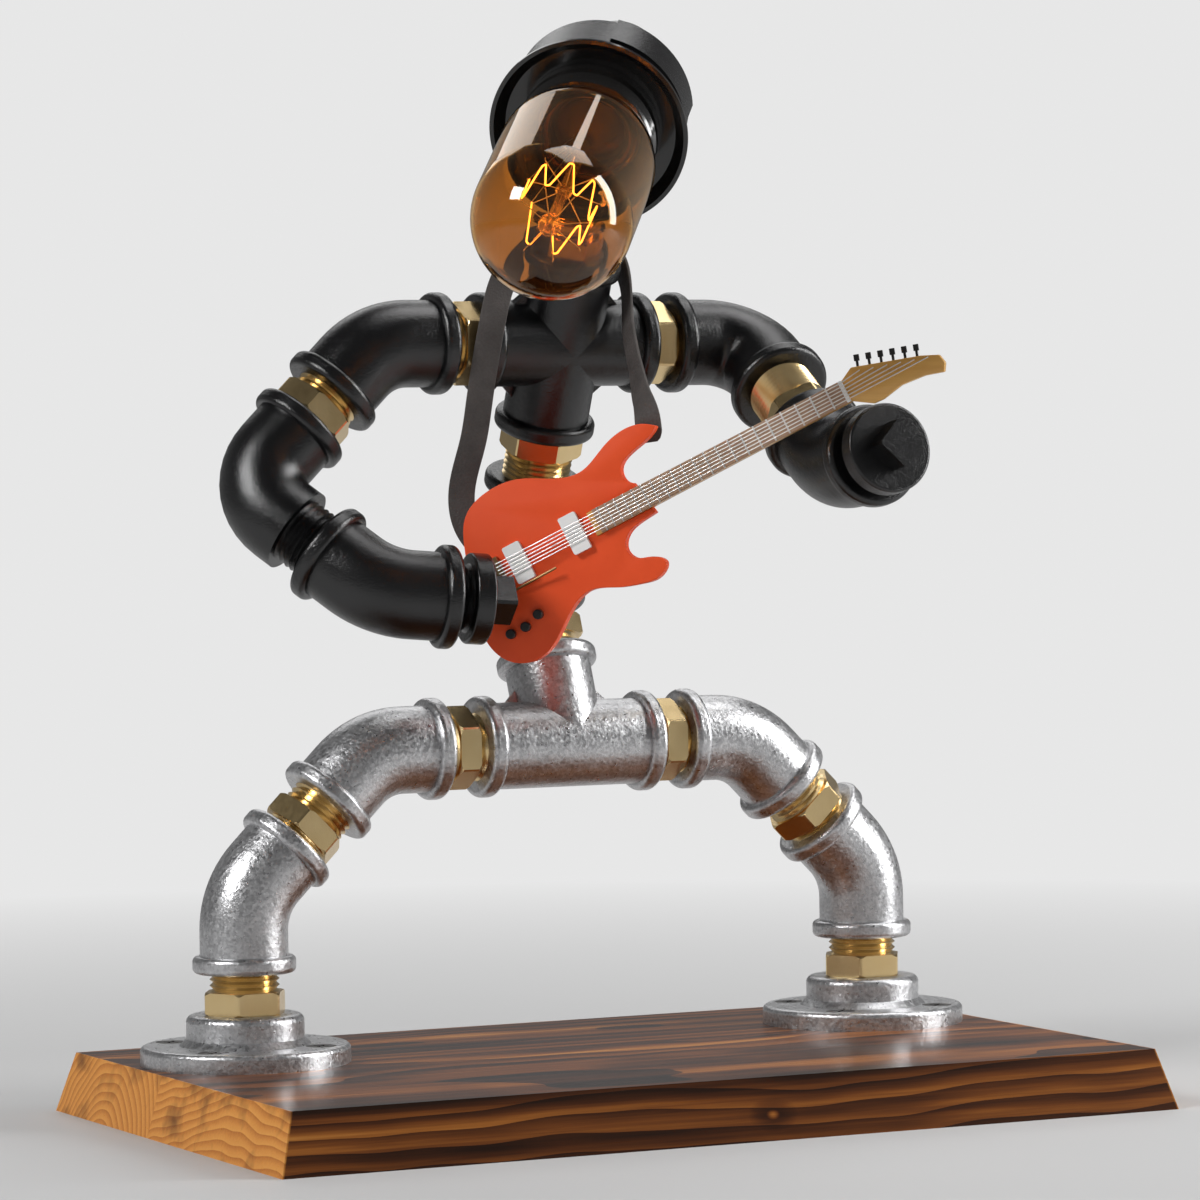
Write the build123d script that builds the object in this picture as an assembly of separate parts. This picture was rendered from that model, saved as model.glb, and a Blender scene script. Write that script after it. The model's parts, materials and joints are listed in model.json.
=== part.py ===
from build123d import *
import math
import os

os.makedirs("parts", exist_ok=True)

# Table lamp made of half-inch pipe fittings on a wooden base.
# Millimetres. Origin at the centre of the base's underside, X along the base, Y to its rear, Z up.

# Base of two glued planks
BASE_LENGTH = 280.0
BASE_WIDTH = 170.0
BASE_THICK = 18.0
BASE_FLARE = 5.0
SEAM_Y = 13.0
CORD_HOLE_R = 4.5
CORD_BORE_R = 5.0
CORD_BORE_Z = 8.0
PILOT_R = 2.15
PILOT_DEPTH = 12.0

# Half-inch pipe thread and the malleable fittings that carry it
THREAD_R = 10.45
THREAD_DEPTH = 1.0
THREAD_PITCH = 1.814
THREAD_CLEAR = 0.05
SOCKET_DEPTH = 13.5
SOCKET_R = THREAD_R + THREAD_CLEAR
PASSAGE_R = 9.0
BODY_R = 13.25
BEAD_R = 15.5
BEAD_WIDTH = 5.2
BEAD_ROUND = 1.7
ELBOW45_REACH = 22.5
ELBOW45_BEND_R = 24.0
ELBOW90_REACH = 28.5
ELBOW90_BEND_R = 15.0
STREET_REACH = 38.0
TEE_REACH = 29.5
CROSS_REACH = 28.5
RIB_THICK = 2.6
RIB_LEG = 6.0

# Brass hexagon nipples
NIPPLE_BORE_R = 7.6
NIPPLE_ENGAGED = 11.0
HEX_ACROSS_FLATS = 22.5
HEX_WIDTH = 6.8
HEX_CHAMFER = 0.7
SEAT_GAP = 0.3

# Floor flanges and their screws
FLANGE_R = 31.5
FLANGE_THICK = 5.6
FLANGE_HEIGHT = 14.7
HUB_R = 17.7
SCREW_CIRCLE_R = 24.3
SCREW_COUNT = 4
SCREW_HOLE_R = 2.9
SCREW_HEAD_R = 4.6
SCREW_SHANK_R = 2.1
SCREW_LENGTH = 17.0
SCREW_CLEAR = 0.05

# Visible gaps between the faces of neighbouring fittings
ANKLE_GAP = 12.3
KNEE_GAP = 14.5
HIP_GAP_LEFT = 12.0
HIP_GAP_RIGHT = 10.0
LOWER_SPINE_GAP = 14.5
UPPER_SPINE_GAP = 15.5
SIDE_GAP_LEFT = 10.0
SIDE_GAP_RIGHT = 8.0
ARM_GAP_LEFT = 10.5
ARM_GAP_RIGHT = 21.0
STREET_THREAD_SHOWN = 9.5
STREET_ENGAGED = 7.5
NECK_GAP = 15.2
MIDDLE_NECK_GAP = 7.4

# Attitudes
LEG_LINE_Y = 31.3
SPINE_LEAN = 22.0
FOREARM_TURN = 35.0
LEFT_END_DIRECTION = (0.984, -0.157, -0.080)
RIGHT_ARM_DROP = 33.5
NECK_TURN = 20.5
HEAD_AXIS = (-0.5385, -0.7210, -0.4370)
HEAD_ELBOW_REACH = 22.5
HEAD_STREET_REACH = 30.0
HEAD_ENGAGED = 8.0
HEAD_THREAD_SHOWN = 5.0

# Square-head plugs
PLUG_COLLAR_R = 13.6
PLUG_COLLAR = 6.0
PLUG_SHOWN = 4.0
PLUG_SQUARE = 11.0
PLUG_HEAD = 8.0

# Lamp head, measured back and forth from the rim of the shade ring
RING_R = 28.5
RING_BACK_R = 24.5
RING_DEPTH = 7.0
SKIRT_R = 20.0
SKIRT_PROUD = 9.0
SKIRT_WALL = 2.0
SKIRT_PITCH = 2.5
SKIRT_CLEAR = 0.2
HOOD_R = 25.4
HOOD_MOUTH_DEPTH = 16.0
HOOD_LENGTH = 27.5
HOOD_RIB = 1.3
HOOD_RIB_START = -68.0
HOOD_RIB_ARC = 76.0
INSERT_R = 17.4
SHELL_CLEAR = 0.08
SHELL_WALL = 0.5
SHELL_LENGTH = 20.0
CONTACT_GAP = 0.4
CONTACT_PLATE = 0.8

# Tubular bulb
BULB_R = 22.5
BULB_DOME = 60.0
GLASS_WALL = 0.8
BULB_NECK_R = 13.3
BULB_STEM_R = 11.6
CAP_R = 13.1
CAP_WALL = 0.4
CAP_PITCH = 3.63
CAP_RIDGE = 0.55
CAP_LENGTH = 21.0
CAP_START = 1.0
CONTACT_R = 5.0
CONTACT_THICK = 2.2
STEM_R = 3.0
STEM_LENGTH = 68.2
FILAMENT_LEGS = 16
FILAMENT_CIRCLE_R = 10.3
FILAMENT_LENGTH = 24.0
FILAMENT_D = 0.5

# Miniature guitar, in its own plane: x along the neck, y across, z out of its face
VIEW_TURN = 26.0
GUITAR_HOLD = (-35.27, 6.47, 152.53)
GUITAR_HOLD_AT = (-36.0, -8.0)
GUITAR_RISE = 27.0
GUITAR_SWING = 10.0
GUITAR_TILT = 7.0
GUITAR_BODY_THICK = 5.0
GUITAR_ROUND = 0.6
HORN_TIP = (34.0, 17.4)
HEEL = (22.3, -5.5)
NECK_JOINT = (20.2, 5.4)
BODY_CURVE = [
    (26.3, 20.9), (17.0, 19.2), (7.4, 15.7), (0.4, 17.1), (-10.5, 22.5), (-20.0, 23.6), (-29.9, 20.0),
    (-34.5, 12.0), (-38.2, 0.0), (-41.2, -12.0), (-40.6, -20.0), (-36.5, -26.0), (-28.0, -28.2),
    (-20.5, -24.8), (-13.0, -19.4), (-6.3, -17.2), (2.0, -20.3), (9.0, -22.6), (15.5, -22.9),
    (18.4, -20.0), (15.8, -17.0), (10.8, -14.8), (9.4, -11.6), (11.6, -7.8), (17.0, -6.0),
]
HORN_CURVE = [(18.3, 7.6), (18.7, 10.8), (23.1, 13.6), (29.0, 14.9)]
NUT_X = 90.0
FRETBOARD_END_X = 5.4
FRETBOARD_W_BODY = 7.6
FRETBOARD_W_NUT = 6.8
FRETBOARD_THICK = 1.0
NECK_THICK = 4.0
NECK_PROUD = 0.6
FRET_COUNT = 21
FRET_FIRST = 5.4
FRET_RATIO = 0.967
FRET_W = 0.5
FRET_PROUD = 0.3
HEADSTOCK = [
    (90.0, 3.4), (94.2, 5.6), (114.3, -0.9), (119.3, -3.2), (119.9, -6.0), (118.4, -8.4), (112.8, -6.7),
    (105.4, -6.0), (98.6, -7.2), (95.5, -7.0), (90.0, -3.4),
]
HEADSTOCK_THICK = 2.8
STRING_COUNT = 6
STRING_D = 0.35
STRING_SPREAD = 5.2
STRING_HEIGHT = 2.5
BRIDGE_X = -29.0
BRIDGE_SIZE = (4.6, 9.5, 2.3)
PICKUP_SIZE = (5.7, 12.0, 1.9)
PICKUP_X = (-21.4, -2.2)
KNOB_PLACES = [(-23.2, -16.5), (-28.3, -18.1), (-33.3, -18.0)]
KNOB_R = 1.5
KNOB_H = 2.2
PEG_R = 0.7
PEG_LENGTH = 3.6
PEG_KEY = (1.5, 1.9, 1.3)
TREMOLO_START = (-27.6, -6.9)
TREMOLO_END = (-11.5, -6.8)
TREMOLO_D = 0.8
BUTTON_R = 1.8
BUTTON_H = 1.6
BUTTON_STAND = 2.3
BUTTON_PIN_R = 0.8
REAR_BUTTON = (-31.0, 10.0)
HORN_BUTTON = (30.6, 17.8)

# Leather strap
STRAP_WIDTH = 8.0
STRAP_THICK = 1.0
STRAP_COLLAR_R = 16.9
STRAP_TAPER = 3.0
STRAP_SECTIONS = 72

# Two-core lead inside the pipes
LEAD_D = 4.4
LEAD_BEND_R = 11.0
LEAD_CORNER_R = 5.0
LEAD_END_GAP = 0.15
GROMMET_PROUD = 1.2
GROMMET_LENGTH = 14.0

Z_AXIS = Vector(0, 0, 1)
FORWARD = Vector(0, -1, 0)
nodes = {}


# Ports: a plane whose z axis leaves the fitting through the middle of an opening
def port(place, direction, toward):
    direction = Vector(*direction).normalized()
    toward = Vector(*toward)
    across = toward - direction * toward.dot(direction)
    return Plane(origin=Vector(*place), x_dir=across, z_dir=direction)


def ahead(start, distance):
    return Plane(origin=start.origin + start.z_dir * distance, x_dir=start.x_dir, z_dir=start.z_dir)


def aimed(start, toward, turn=0.0):
    across = (toward - start.z_dir * toward.dot(start.z_dir)).normalized()
    angle = math.radians(turn)
    across = across * math.cos(angle) + start.z_dir.cross(across) * math.sin(angle)
    return Plane(origin=start.origin, x_dir=across, z_dir=start.z_dir)


def bent(start, bend, reach_in, reach_out):
    angle = math.radians(bend)
    centre = start.origin + start.z_dir * reach_in
    out = start.z_dir * math.cos(angle) + start.x_dir * math.sin(angle)
    across = start.x_dir * math.cos(angle) - start.z_dir * math.sin(angle)
    return Plane(origin=centre + out * reach_out, x_dir=across, z_dir=out)


def placed(plane, shape):
    return shape.moved(plane.location)


def tube_along(low, high, radius):
    return Pos(0, 0, (low + high) / 2) * Cylinder(radius, high - low)


def bead():
    ring = tube_along(0, BEAD_WIDTH, BEAD_R)
    return fillet(ring.edges().filter_by(GeomType.CIRCLE), BEAD_ROUND)


def socket():
    return tube_along(-1, SOCKET_DEPTH, SOCKET_R)


# A round bar that runs in along Z, turns towards +X and runs out
def bent_bar(radius, bend, bend_r, reach_in, reach_out):
    tangent = bend_r * math.tan(math.radians(bend / 2))
    straight = tube_along(0, reach_in - tangent, radius)
    section = Plane(origin=(0, 0, reach_in - tangent), z_dir=(0, 0, 1)) * Circle(radius)
    turn_axis = Axis((bend_r, 0, reach_in - tangent), (0, 1, 0))
    turn = revolve(section, turn_axis, bend)
    exit_plane = bent(Plane.XY, bend, reach_in, tangent)
    last = placed(exit_plane, tube_along(0, reach_out - tangent, radius))
    return straight + turn + last


def elbow(bend, bend_r, reach, male_reach=None, shown=0.0, engaged=0.0):
    out_reach = male_reach or reach
    outlet = bent(Plane.XY, bend, reach, out_reach)
    inward = Plane(origin=outlet.origin, x_dir=outlet.x_dir, z_dir=-outlet.z_dir)
    if male_reach:
        thread_length = shown + engaged
        outer = bent_bar(BODY_R, bend, bend_r, reach, male_reach - thread_length)
        outer += placed(inward, thread(thread_length, shown))
    else:
        outer = bent_bar(BODY_R, bend, bend_r, reach, reach) + placed(inward, bead())
    outer += bead()
    hollow = bent_bar(NIPPLE_BORE_R if male_reach else PASSAGE_R, bend, bend_r, reach, out_reach)
    outer -= hollow
    outer -= socket()
    if not male_reach:
        outer -= placed(inward, socket())
    return outer


def crotch_rib(reach_dir):
    corner = BODY_R - 1.0
    outline = Polyline((0, 0), (RIB_LEG, 0), (0, RIB_LEG), close=True)
    web = extrude(Plane.XZ * make_face(outline), RIB_THICK / 2, both=True)
    web = Pos(corner, 0, corner) * web
    return web if reach_dir > 0 else web.mirror(Plane.YZ)


# A tee along X with its branch up, or a cross with a second branch down
def branched(reach, branches):
    run = Rot(0, 90, 0) * Cylinder(BODY_R, 2 * reach)
    ends = [Plane(origin=(side * reach, 0, 0), z_dir=(-side, 0, 0)) for side in (-1, 1)]
    ends += [Plane(origin=(0, 0, up * reach), z_dir=(0, 0, -up)) for up in branches]
    outer = run
    for up in branches:
        outer += tube_along(min(0, up * reach), max(0, up * reach), BODY_R)
        for side in (-1, 1):
            web = crotch_rib(side)
            outer += web if up > 0 else web.mirror(Plane.XY)
    for end in ends:
        outer += placed(end, bead())
    for end in ends:
        outer -= placed(end, socket())
        outer -= placed(end, tube_along(0, reach, PASSAGE_R))
    return outer


# A thread whose tip is at the origin and whose body lies along +Z
def thread(length, shown):
    plain = length - shown
    points = [(0, 0), (THREAD_R - THREAD_DEPTH, 0), (THREAD_R, THREAD_DEPTH), (THREAD_R, plain)]
    ridges = max(1, int(round(shown / THREAD_PITCH)))
    pitch = shown / ridges
    for ridge in range(ridges):
        low = plain + ridge * pitch
        points += [(THREAD_R - THREAD_DEPTH, low + pitch / 2), (THREAD_R, low + pitch)]
    points += [(0, length)]
    profile = Plane.XZ * make_face(Polyline(*points, close=True))
    return revolve(profile, Axis.Z)


# A brass nipple: the origin is at the first fitting's face, and the hexagon starts hex_start beyond it
def nipple(gap, hex_start):
    before = hex_start
    after = gap - hex_start - HEX_WIDTH
    body = extrude(RegularPolygon(HEX_ACROSS_FLATS / 2, 6, major_radius=False), HEX_WIDTH)
    corner_r = HEX_ACROSS_FLATS / 2 / math.cos(math.radians(30))
    limit = tube_along(0, HEX_WIDTH, corner_r - 0.2)
    limit = chamfer(limit.edges().filter_by(GeomType.CIRCLE), HEX_CHAMFER)
    body = Pos(0, 0, hex_start) * (body & limit)
    body += Pos(0, 0, -NIPPLE_ENGAGED) * thread(NIPPLE_ENGAGED + before, before)
    tip = Plane(origin=(0, 0, gap + NIPPLE_ENGAGED), z_dir=(0, 0, -1))
    body += placed(tip, thread(NIPPLE_ENGAGED + after, after))
    bore = tube_along(-NIPPLE_ENGAGED - 1, gap + NIPPLE_ENGAGED + 1, NIPPLE_BORE_R)
    return body - bore


# A square-head plug screwed into a fitting whose face is at the origin, pointing along +Z
def plug(square_turn=0.0):
    body = Pos(0, 0, -NIPPLE_ENGAGED) * thread(NIPPLE_ENGAGED + PLUG_SHOWN, PLUG_SHOWN)
    collar = tube_along(PLUG_SHOWN, PLUG_SHOWN + PLUG_COLLAR, PLUG_COLLAR_R)
    collar = fillet(collar.edges().filter_by(GeomType.CIRCLE), 0.9)
    low = PLUG_SHOWN + PLUG_COLLAR
    square = extrude(Plane(origin=(0, 0, low - 1)) * Rectangle(PLUG_SQUARE, PLUG_SQUARE), PLUG_HEAD + 1)
    square = chamfer(square.edges().filter_by(Axis.Z), 0.8)
    return body + collar + Rot(0, 0, square_turn) * square


# Floor flange, underside at the origin
def floor_flange():
    disc = tube_along(0, FLANGE_THICK, FLANGE_R)
    disc = fillet(disc.edges().filter_by(GeomType.CIRCLE).sort_by(Axis.Z)[-1], 1.6)
    hub = tube_along(FLANGE_THICK - 1, FLANGE_HEIGHT, HUB_R)
    hub = fillet(hub.edges().filter_by(GeomType.CIRCLE).sort_by(Axis.Z)[-1], 2.2)
    skirt = Pos(0, 0, FLANGE_THICK + 1.0) * Cone(HUB_R + 2.4, HUB_R - 0.4, 2.6)
    body = disc + hub + skirt
    body -= tube_along(-1, FLANGE_HEIGHT + 1, PASSAGE_R)
    body -= tube_along(FLANGE_HEIGHT - SOCKET_DEPTH, FLANGE_HEIGHT + 1, SOCKET_R)
    for place in PolarLocations(SCREW_CIRCLE_R, SCREW_COUNT, start_angle=45):
        body -= place * tube_along(-1, FLANGE_THICK + 1, SCREW_HOLE_R)
        depth = SCREW_HEAD_R - SCREW_HOLE_R
        sink = Cone(SCREW_HOLE_R, SCREW_HEAD_R + SCREW_CLEAR, depth)
        body -= place * Pos(0, 0, FLANGE_THICK - depth / 2) * sink
    return body


def flange_screw():
    depth = SCREW_HEAD_R - SCREW_HOLE_R
    head = Pos(0, 0, FLANGE_THICK - depth / 2) * Cone(SCREW_HOLE_R - SCREW_CLEAR, SCREW_HEAD_R, depth)
    shank = tube_along(FLANGE_THICK - SCREW_LENGTH, FLANGE_THICK - depth, SCREW_SHANK_R)
    slot_x = Pos(0, 0, FLANGE_THICK) * Box(5.0, 1.0, 1.4)
    return head + shank - slot_x - Rot(0, 0, 90) * slot_x


# The standing frame: legs first, from the tee down to the base
leg_reach = ELBOW45_REACH * 2 + KNEE_GAP
leg_drop = leg_reach * math.sin(math.radians(45))
flange_top = BASE_THICK + FLANGE_HEIGHT
tee_z = flange_top + ANKLE_GAP + ELBOW45_REACH + leg_drop
tee_centre = Vector(0, LEG_LINE_Y, tee_z)
tee_tilt = Rot(-SPINE_LEAN, 0, 0)
nodes["leg_tee"] = Pos(tee_centre) * tee_tilt * branched(TEE_REACH, [1])

screws = []
feet = {}
for side, sign, hip_gap in (("left", -1, HIP_GAP_LEFT), ("right", 1, HIP_GAP_RIGHT)):
    outward = Vector(sign, 0, 0)
    hip = port(tee_centre + outward * TEE_REACH, outward, (0, 0, -1))
    nodes["hip_nipple_" + side] = placed(hip, nipple(hip_gap, (hip_gap - HEX_WIDTH) / 2))
    upper = ahead(hip, hip_gap)
    nodes["upper_leg_elbow_" + side] = placed(upper, elbow(45, ELBOW45_BEND_R, ELBOW45_REACH))
    knee = bent(upper, 45, ELBOW45_REACH, ELBOW45_REACH)
    nodes["knee_nipple_" + side] = placed(knee, nipple(KNEE_GAP, KNEE_GAP - HEX_WIDTH - 2.0))
    lower = ahead(knee, KNEE_GAP)
    nodes["lower_leg_elbow_" + side] = placed(lower, elbow(45, ELBOW45_BEND_R, ELBOW45_REACH))
    ankle = bent(lower, 45, ELBOW45_REACH, ELBOW45_REACH)
    nodes["ankle_nipple_" + side] = placed(ankle, nipple(ANKLE_GAP, ANKLE_GAP - HEX_WIDTH))
    foot = Pos(ankle.origin.X, LEG_LINE_Y, BASE_THICK)
    feet[side] = ankle.origin.X
    nodes["floor_flange_" + side] = foot * floor_flange()
    screws += [foot * place * flange_screw() for place in PolarLocations(SCREW_CIRCLE_R, SCREW_COUNT, start_angle=45)]
nodes["flange_screws"] = screws

# The spine leans back out of the tee and comes forward again through its elbow
lean = math.radians(SPINE_LEAN)
branch = port(tee_centre + Vector(0, math.sin(lean), math.cos(lean)) * TEE_REACH,
              (0, math.sin(lean), math.cos(lean)), FORWARD)
nodes["lower_spine_nipple"] = placed(branch, nipple(LOWER_SPINE_GAP, (LOWER_SPINE_GAP - HEX_WIDTH) / 2))
spine_in = ahead(branch, LOWER_SPINE_GAP)
nodes["spine_elbow"] = placed(spine_in, elbow(45, ELBOW45_BEND_R, ELBOW45_REACH))
spine_out = bent(spine_in, 45, ELBOW45_REACH, ELBOW45_REACH)
upper_hex = UPPER_SPINE_GAP - HEX_WIDTH
nodes["upper_spine_nipple"] = placed(spine_out, nipple(UPPER_SPINE_GAP, upper_hex))
cross_in = ahead(spine_out, UPPER_SPINE_GAP)
cross_centre = cross_in.origin + cross_in.z_dir * CROSS_REACH
neck_dir = cross_in.z_dir
neck_tilt = math.degrees(math.atan2(-neck_dir.Y, neck_dir.Z))
nodes["body_cross"] = Pos(cross_centre) * Rot(neck_tilt, 0, 0) * branched(CROSS_REACH, [1, -1])

# The image-left limb: elbow, street elbow, elbow and plug
DOWN = Vector(0, 0, -1)
left_side = port(cross_centre - Vector(CROSS_REACH, 0, 0), (-1, 0, 0), DOWN)
nodes["side_nipple_left"] = placed(left_side, nipple(SIDE_GAP_LEFT, 0.0))
left_shoulder = ahead(left_side, SIDE_GAP_LEFT)
nodes["side_elbow_left"] = placed(left_shoulder, elbow(45, ELBOW45_BEND_R, ELBOW45_REACH))
left_upper = bent(left_shoulder, 45, ELBOW45_REACH, ELBOW45_REACH)
nodes["limb_nipple_left"] = placed(left_upper, nipple(ARM_GAP_LEFT, ARM_GAP_LEFT - HEX_WIDTH - SEAT_GAP))
turn = math.radians(FOREARM_TURN)
inward_down = Vector(1, 0, -1).normalized() * math.cos(turn) + FORWARD * math.sin(turn)
left_mid = aimed(ahead(left_upper, ARM_GAP_LEFT), inward_down)
nodes["street_elbow"] = placed(left_mid, elbow(90, ELBOW90_BEND_R, ELBOW90_REACH, STREET_REACH,
                                               STREET_THREAD_SHOWN, STREET_ENGAGED))
left_tip = bent(left_mid, 90, ELBOW90_REACH, STREET_REACH)
left_fore = aimed(ahead(left_tip, -STREET_ENGAGED), Vector(*LEFT_END_DIRECTION))
nodes["end_elbow_left"] = placed(left_fore, elbow(45, ELBOW45_BEND_R, ELBOW45_REACH))
left_end = bent(left_fore, 45, ELBOW45_REACH, ELBOW45_REACH)
nodes["plug_left"] = placed(left_end, plug())

# The image-right limb: square elbow forward and down, elbow up again and plug
drop = math.radians(RIGHT_ARM_DROP)
right_dir = Vector(0, -math.cos(drop), -math.sin(drop))
right_side = port(cross_centre + Vector(CROSS_REACH, 0, 0), (1, 0, 0), right_dir)
nodes["side_nipple_right"] = placed(right_side, nipple(SIDE_GAP_RIGHT, 0.0))
right_shoulder = ahead(right_side, SIDE_GAP_RIGHT)
nodes["side_elbow_right"] = placed(right_shoulder, elbow(90, ELBOW90_BEND_R, ELBOW90_REACH))
right_upper = aimed(bent(right_shoulder, 90, ELBOW90_REACH, ELBOW90_REACH), FORWARD)
nodes["limb_nipple_right"] = placed(right_upper, nipple(ARM_GAP_RIGHT, ARM_GAP_RIGHT - HEX_WIDTH - SEAT_GAP))
right_fore = ahead(right_upper, ARM_GAP_RIGHT)
nodes["end_elbow_right"] = placed(right_fore, elbow(45, ELBOW45_BEND_R, ELBOW45_REACH))
right_end = bent(right_fore, 45, ELBOW45_REACH, ELBOW45_REACH)
nodes["plug_right"] = placed(right_end, plug(45))

# The neck: two elbows bring the lamp head forward and down
neck_port = port(cross_centre + neck_dir * CROSS_REACH, neck_dir, FORWARD)
nodes["neck_nipple_lower"] = placed(neck_port, nipple(NECK_GAP, 0.0))
neck_low = aimed(ahead(neck_port, NECK_GAP), FORWARD, -NECK_TURN)
nodes["neck_elbow_lower"] = placed(neck_low, elbow(45, ELBOW45_BEND_R, ELBOW45_REACH))
neck_mid = bent(neck_low, 45, ELBOW45_REACH, ELBOW45_REACH)
nodes["neck_nipple_middle"] = placed(neck_mid, nipple(MIDDLE_NECK_GAP, 0.0))
head_axis = Vector(*HEAD_AXIS).normalized()
neck_high = aimed(ahead(neck_mid, MIDDLE_NECK_GAP), head_axis)
head_bend = math.degrees(math.acos(neck_high.z_dir.dot(head_axis)))
nodes["neck_elbow_upper"] = placed(neck_high, elbow(head_bend, ELBOW45_BEND_R - 4.0, HEAD_ELBOW_REACH,
                                                    HEAD_STREET_REACH, HEAD_THREAD_SHOWN, HEAD_ENGAGED))
head_tip = bent(neck_high, head_bend, HEAD_ELBOW_REACH, HEAD_STREET_REACH)

# Lamp head frame: origin at the middle of the shade ring's rim, z forward along the bulb
rim = ahead(head_tip, HOOD_LENGTH + RING_DEPTH - HEAD_ENGAGED)
mouth_back = -RING_DEPTH
hood_back = mouth_back - HOOD_LENGTH
cap_end = CAP_START - CAP_LENGTH
contact_tip = cap_end - CONTACT_THICK
contact_seat = contact_tip - CONTACT_GAP
insert_top = contact_seat - CONTACT_PLATE
insert_back = hood_back + HEAD_ENGAGED + 0.1
shell_r = CAP_R + SHELL_CLEAR


def turned(points):
    return revolve(Plane.XZ * make_face(Polyline(*points, close=True)), Axis.Z)


def hood():
    bell = mouth_back - HOOD_MOUTH_DEPTH
    boss = hood_back + 3.0
    outer = turned([(0, mouth_back), (HOOD_R - 0.8, mouth_back), (HOOD_R, mouth_back - 0.8), (HOOD_R, bell),
                    (HOOD_R - 1.4, bell - 3.2), (HOOD_R - 5.0, bell - 6.0), (BEAD_R + 1.4, boss),
                    (BEAD_R, boss - 0.6), (BEAD_R, hood_back), (0, hood_back)])
    low, high = bell + 0.8, mouth_back - 1.0
    band = Polyline((HOOD_R - 1, low), (HOOD_R + HOOD_RIB, low), (HOOD_R + HOOD_RIB, high), (HOOD_R - 1, high),
                    close=True)
    for side in (0, 180):
        outer += Rot(0, 0, side + HOOD_RIB_START) * revolve(Plane.XZ * make_face(band), Axis.Z, HOOD_RIB_ARC)
    outer -= tube_along(insert_top - 0.2, mouth_back + 1, SKIRT_R + SKIRT_CLEAR)
    outer -= tube_along(insert_back, mouth_back, INSERT_R + SKIRT_CLEAR)
    outer -= tube_along(hood_back - 1, insert_back + 0.1, SOCKET_R)
    return outer


def shade_ring():
    inner = SKIRT_R + THREAD_CLEAR
    return turned([(inner, mouth_back), (RING_BACK_R, mouth_back), (RING_BACK_R + 1.2, -5.0), (RING_R, -1.0),
                   (RING_R, 0), (RING_R - 1.2, 0), (RING_BACK_R, -3.6), (inner, -3.6)])


def holder_skirt():
    floor_r = shell_r + SHELL_WALL + 0.1
    points = [(SKIRT_R - SKIRT_WALL, SKIRT_PROUD), (SKIRT_R - 0.5, SKIRT_PROUD)]
    for ridge in range(int(SKIRT_PROUD / SKIRT_PITCH)):
        low = SKIRT_PROUD - (ridge + 1) * SKIRT_PITCH
        points += [(SKIRT_R, low + SKIRT_PITCH * 0.65), (SKIRT_R - 0.6, low)]
    points += [(SKIRT_R, 0), (SKIRT_R, insert_top), (floor_r, insert_top), (floor_r, insert_top + 2),
               (SKIRT_R - SKIRT_WALL, insert_top + 2)]
    return turned(points)


def holder_insert():
    return tube_along(insert_back, insert_top, INSERT_R)


def holder_contact():
    return tube_along(insert_top, contact_seat, CONTACT_R)


def holder_shell():
    wall = tube_along(insert_top, insert_top + SHELL_LENGTH, shell_r + SHELL_WALL)
    wall -= tube_along(insert_top, insert_top + SHELL_LENGTH, shell_r)
    base = tube_along(insert_top, insert_top + 0.8, shell_r + 0.1)
    base -= tube_along(insert_top, insert_top + 0.8, CONTACT_R + 2.5)
    return wall + base


def bulb_profile(shrink):
    body_r = BULB_R - shrink
    neck_r = BULB_NECK_R - shrink
    stem_r = BULB_STEM_R - shrink
    low = CAP_START - 6.0 + shrink
    ledge = CAP_START + 0.2 + shrink
    lines = Polyline((0, low), (stem_r, low), (stem_r, ledge), (neck_r, ledge), (neck_r, ledge + 1.0))
    flank = Spline((neck_r, ledge + 1.0), (neck_r + (body_r - neck_r) * 0.55, 11.0), (body_r, 22.0),
                   tangents=((0, 1), (0, 1)))
    side = Line((body_r, 22.0), (body_r, BULB_DOME))
    dome = CenterArc((0, BULB_DOME), body_r, 0, 90)
    back = Line((0, BULB_DOME + body_r), (0, low))
    return revolve(Plane.XZ * make_face([lines, flank, side, dome, back]), Axis.Z)


def bulb_glass():
    return bulb_profile(0) - bulb_profile(GLASS_WALL)


def bulb_cap():
    inner = BULB_STEM_R + 0.1
    points = [(inner, CAP_START), (CAP_R - 0.4, CAP_START)]
    for ridge in range(int((CAP_LENGTH - 4) / CAP_PITCH)):
        high = CAP_START - 2.0 - ridge * CAP_PITCH
        points += [(CAP_R - CAP_RIDGE, high), (CAP_R, high - CAP_PITCH * 0.5)]
    points += [(CAP_R - CAP_RIDGE, cap_end + 2.6), (CAP_R - 1.6, cap_end + 1.2), (CONTACT_R + 1.6, cap_end),
               (CONTACT_R + 1.6, cap_end + 1.0), (inner - 0.6, cap_end + 2.6), (inner, cap_end + 3.4)]
    return turned(points)


def bulb_contact():
    button = tube_along(contact_tip, cap_end, CONTACT_R)
    return button + tube_along(cap_end - 0.6, cap_end + 1.0, CONTACT_R + 1.5)


stem_base = CAP_START - 6.0 + GLASS_WALL
stem_top = stem_base + STEM_LENGTH


def bulb_stem():
    flare = Pos(0, 0, stem_base + 5.0) * Cone(BULB_STEM_R - GLASS_WALL - 0.4, STEM_R, 10.0)
    rod = tube_along(stem_base + 9.0, stem_top, STEM_R * 0.6)
    knob = Pos(0, 0, stem_top) * Sphere(STEM_R)
    body = flare + rod + knob
    reach = FILAMENT_CIRCLE_R - FILAMENT_D / 2 - 0.05
    for spoke_index in range(FILAMENT_LEGS // 2):
        spoke = Pos(reach / 2, 0, stem_top) * Rot(0, 90, 0) * Cylinder(0.25, reach)
        body += Rot(0, 0, spoke_index * 720.0 / FILAMENT_LEGS) * spoke
    return body


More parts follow.
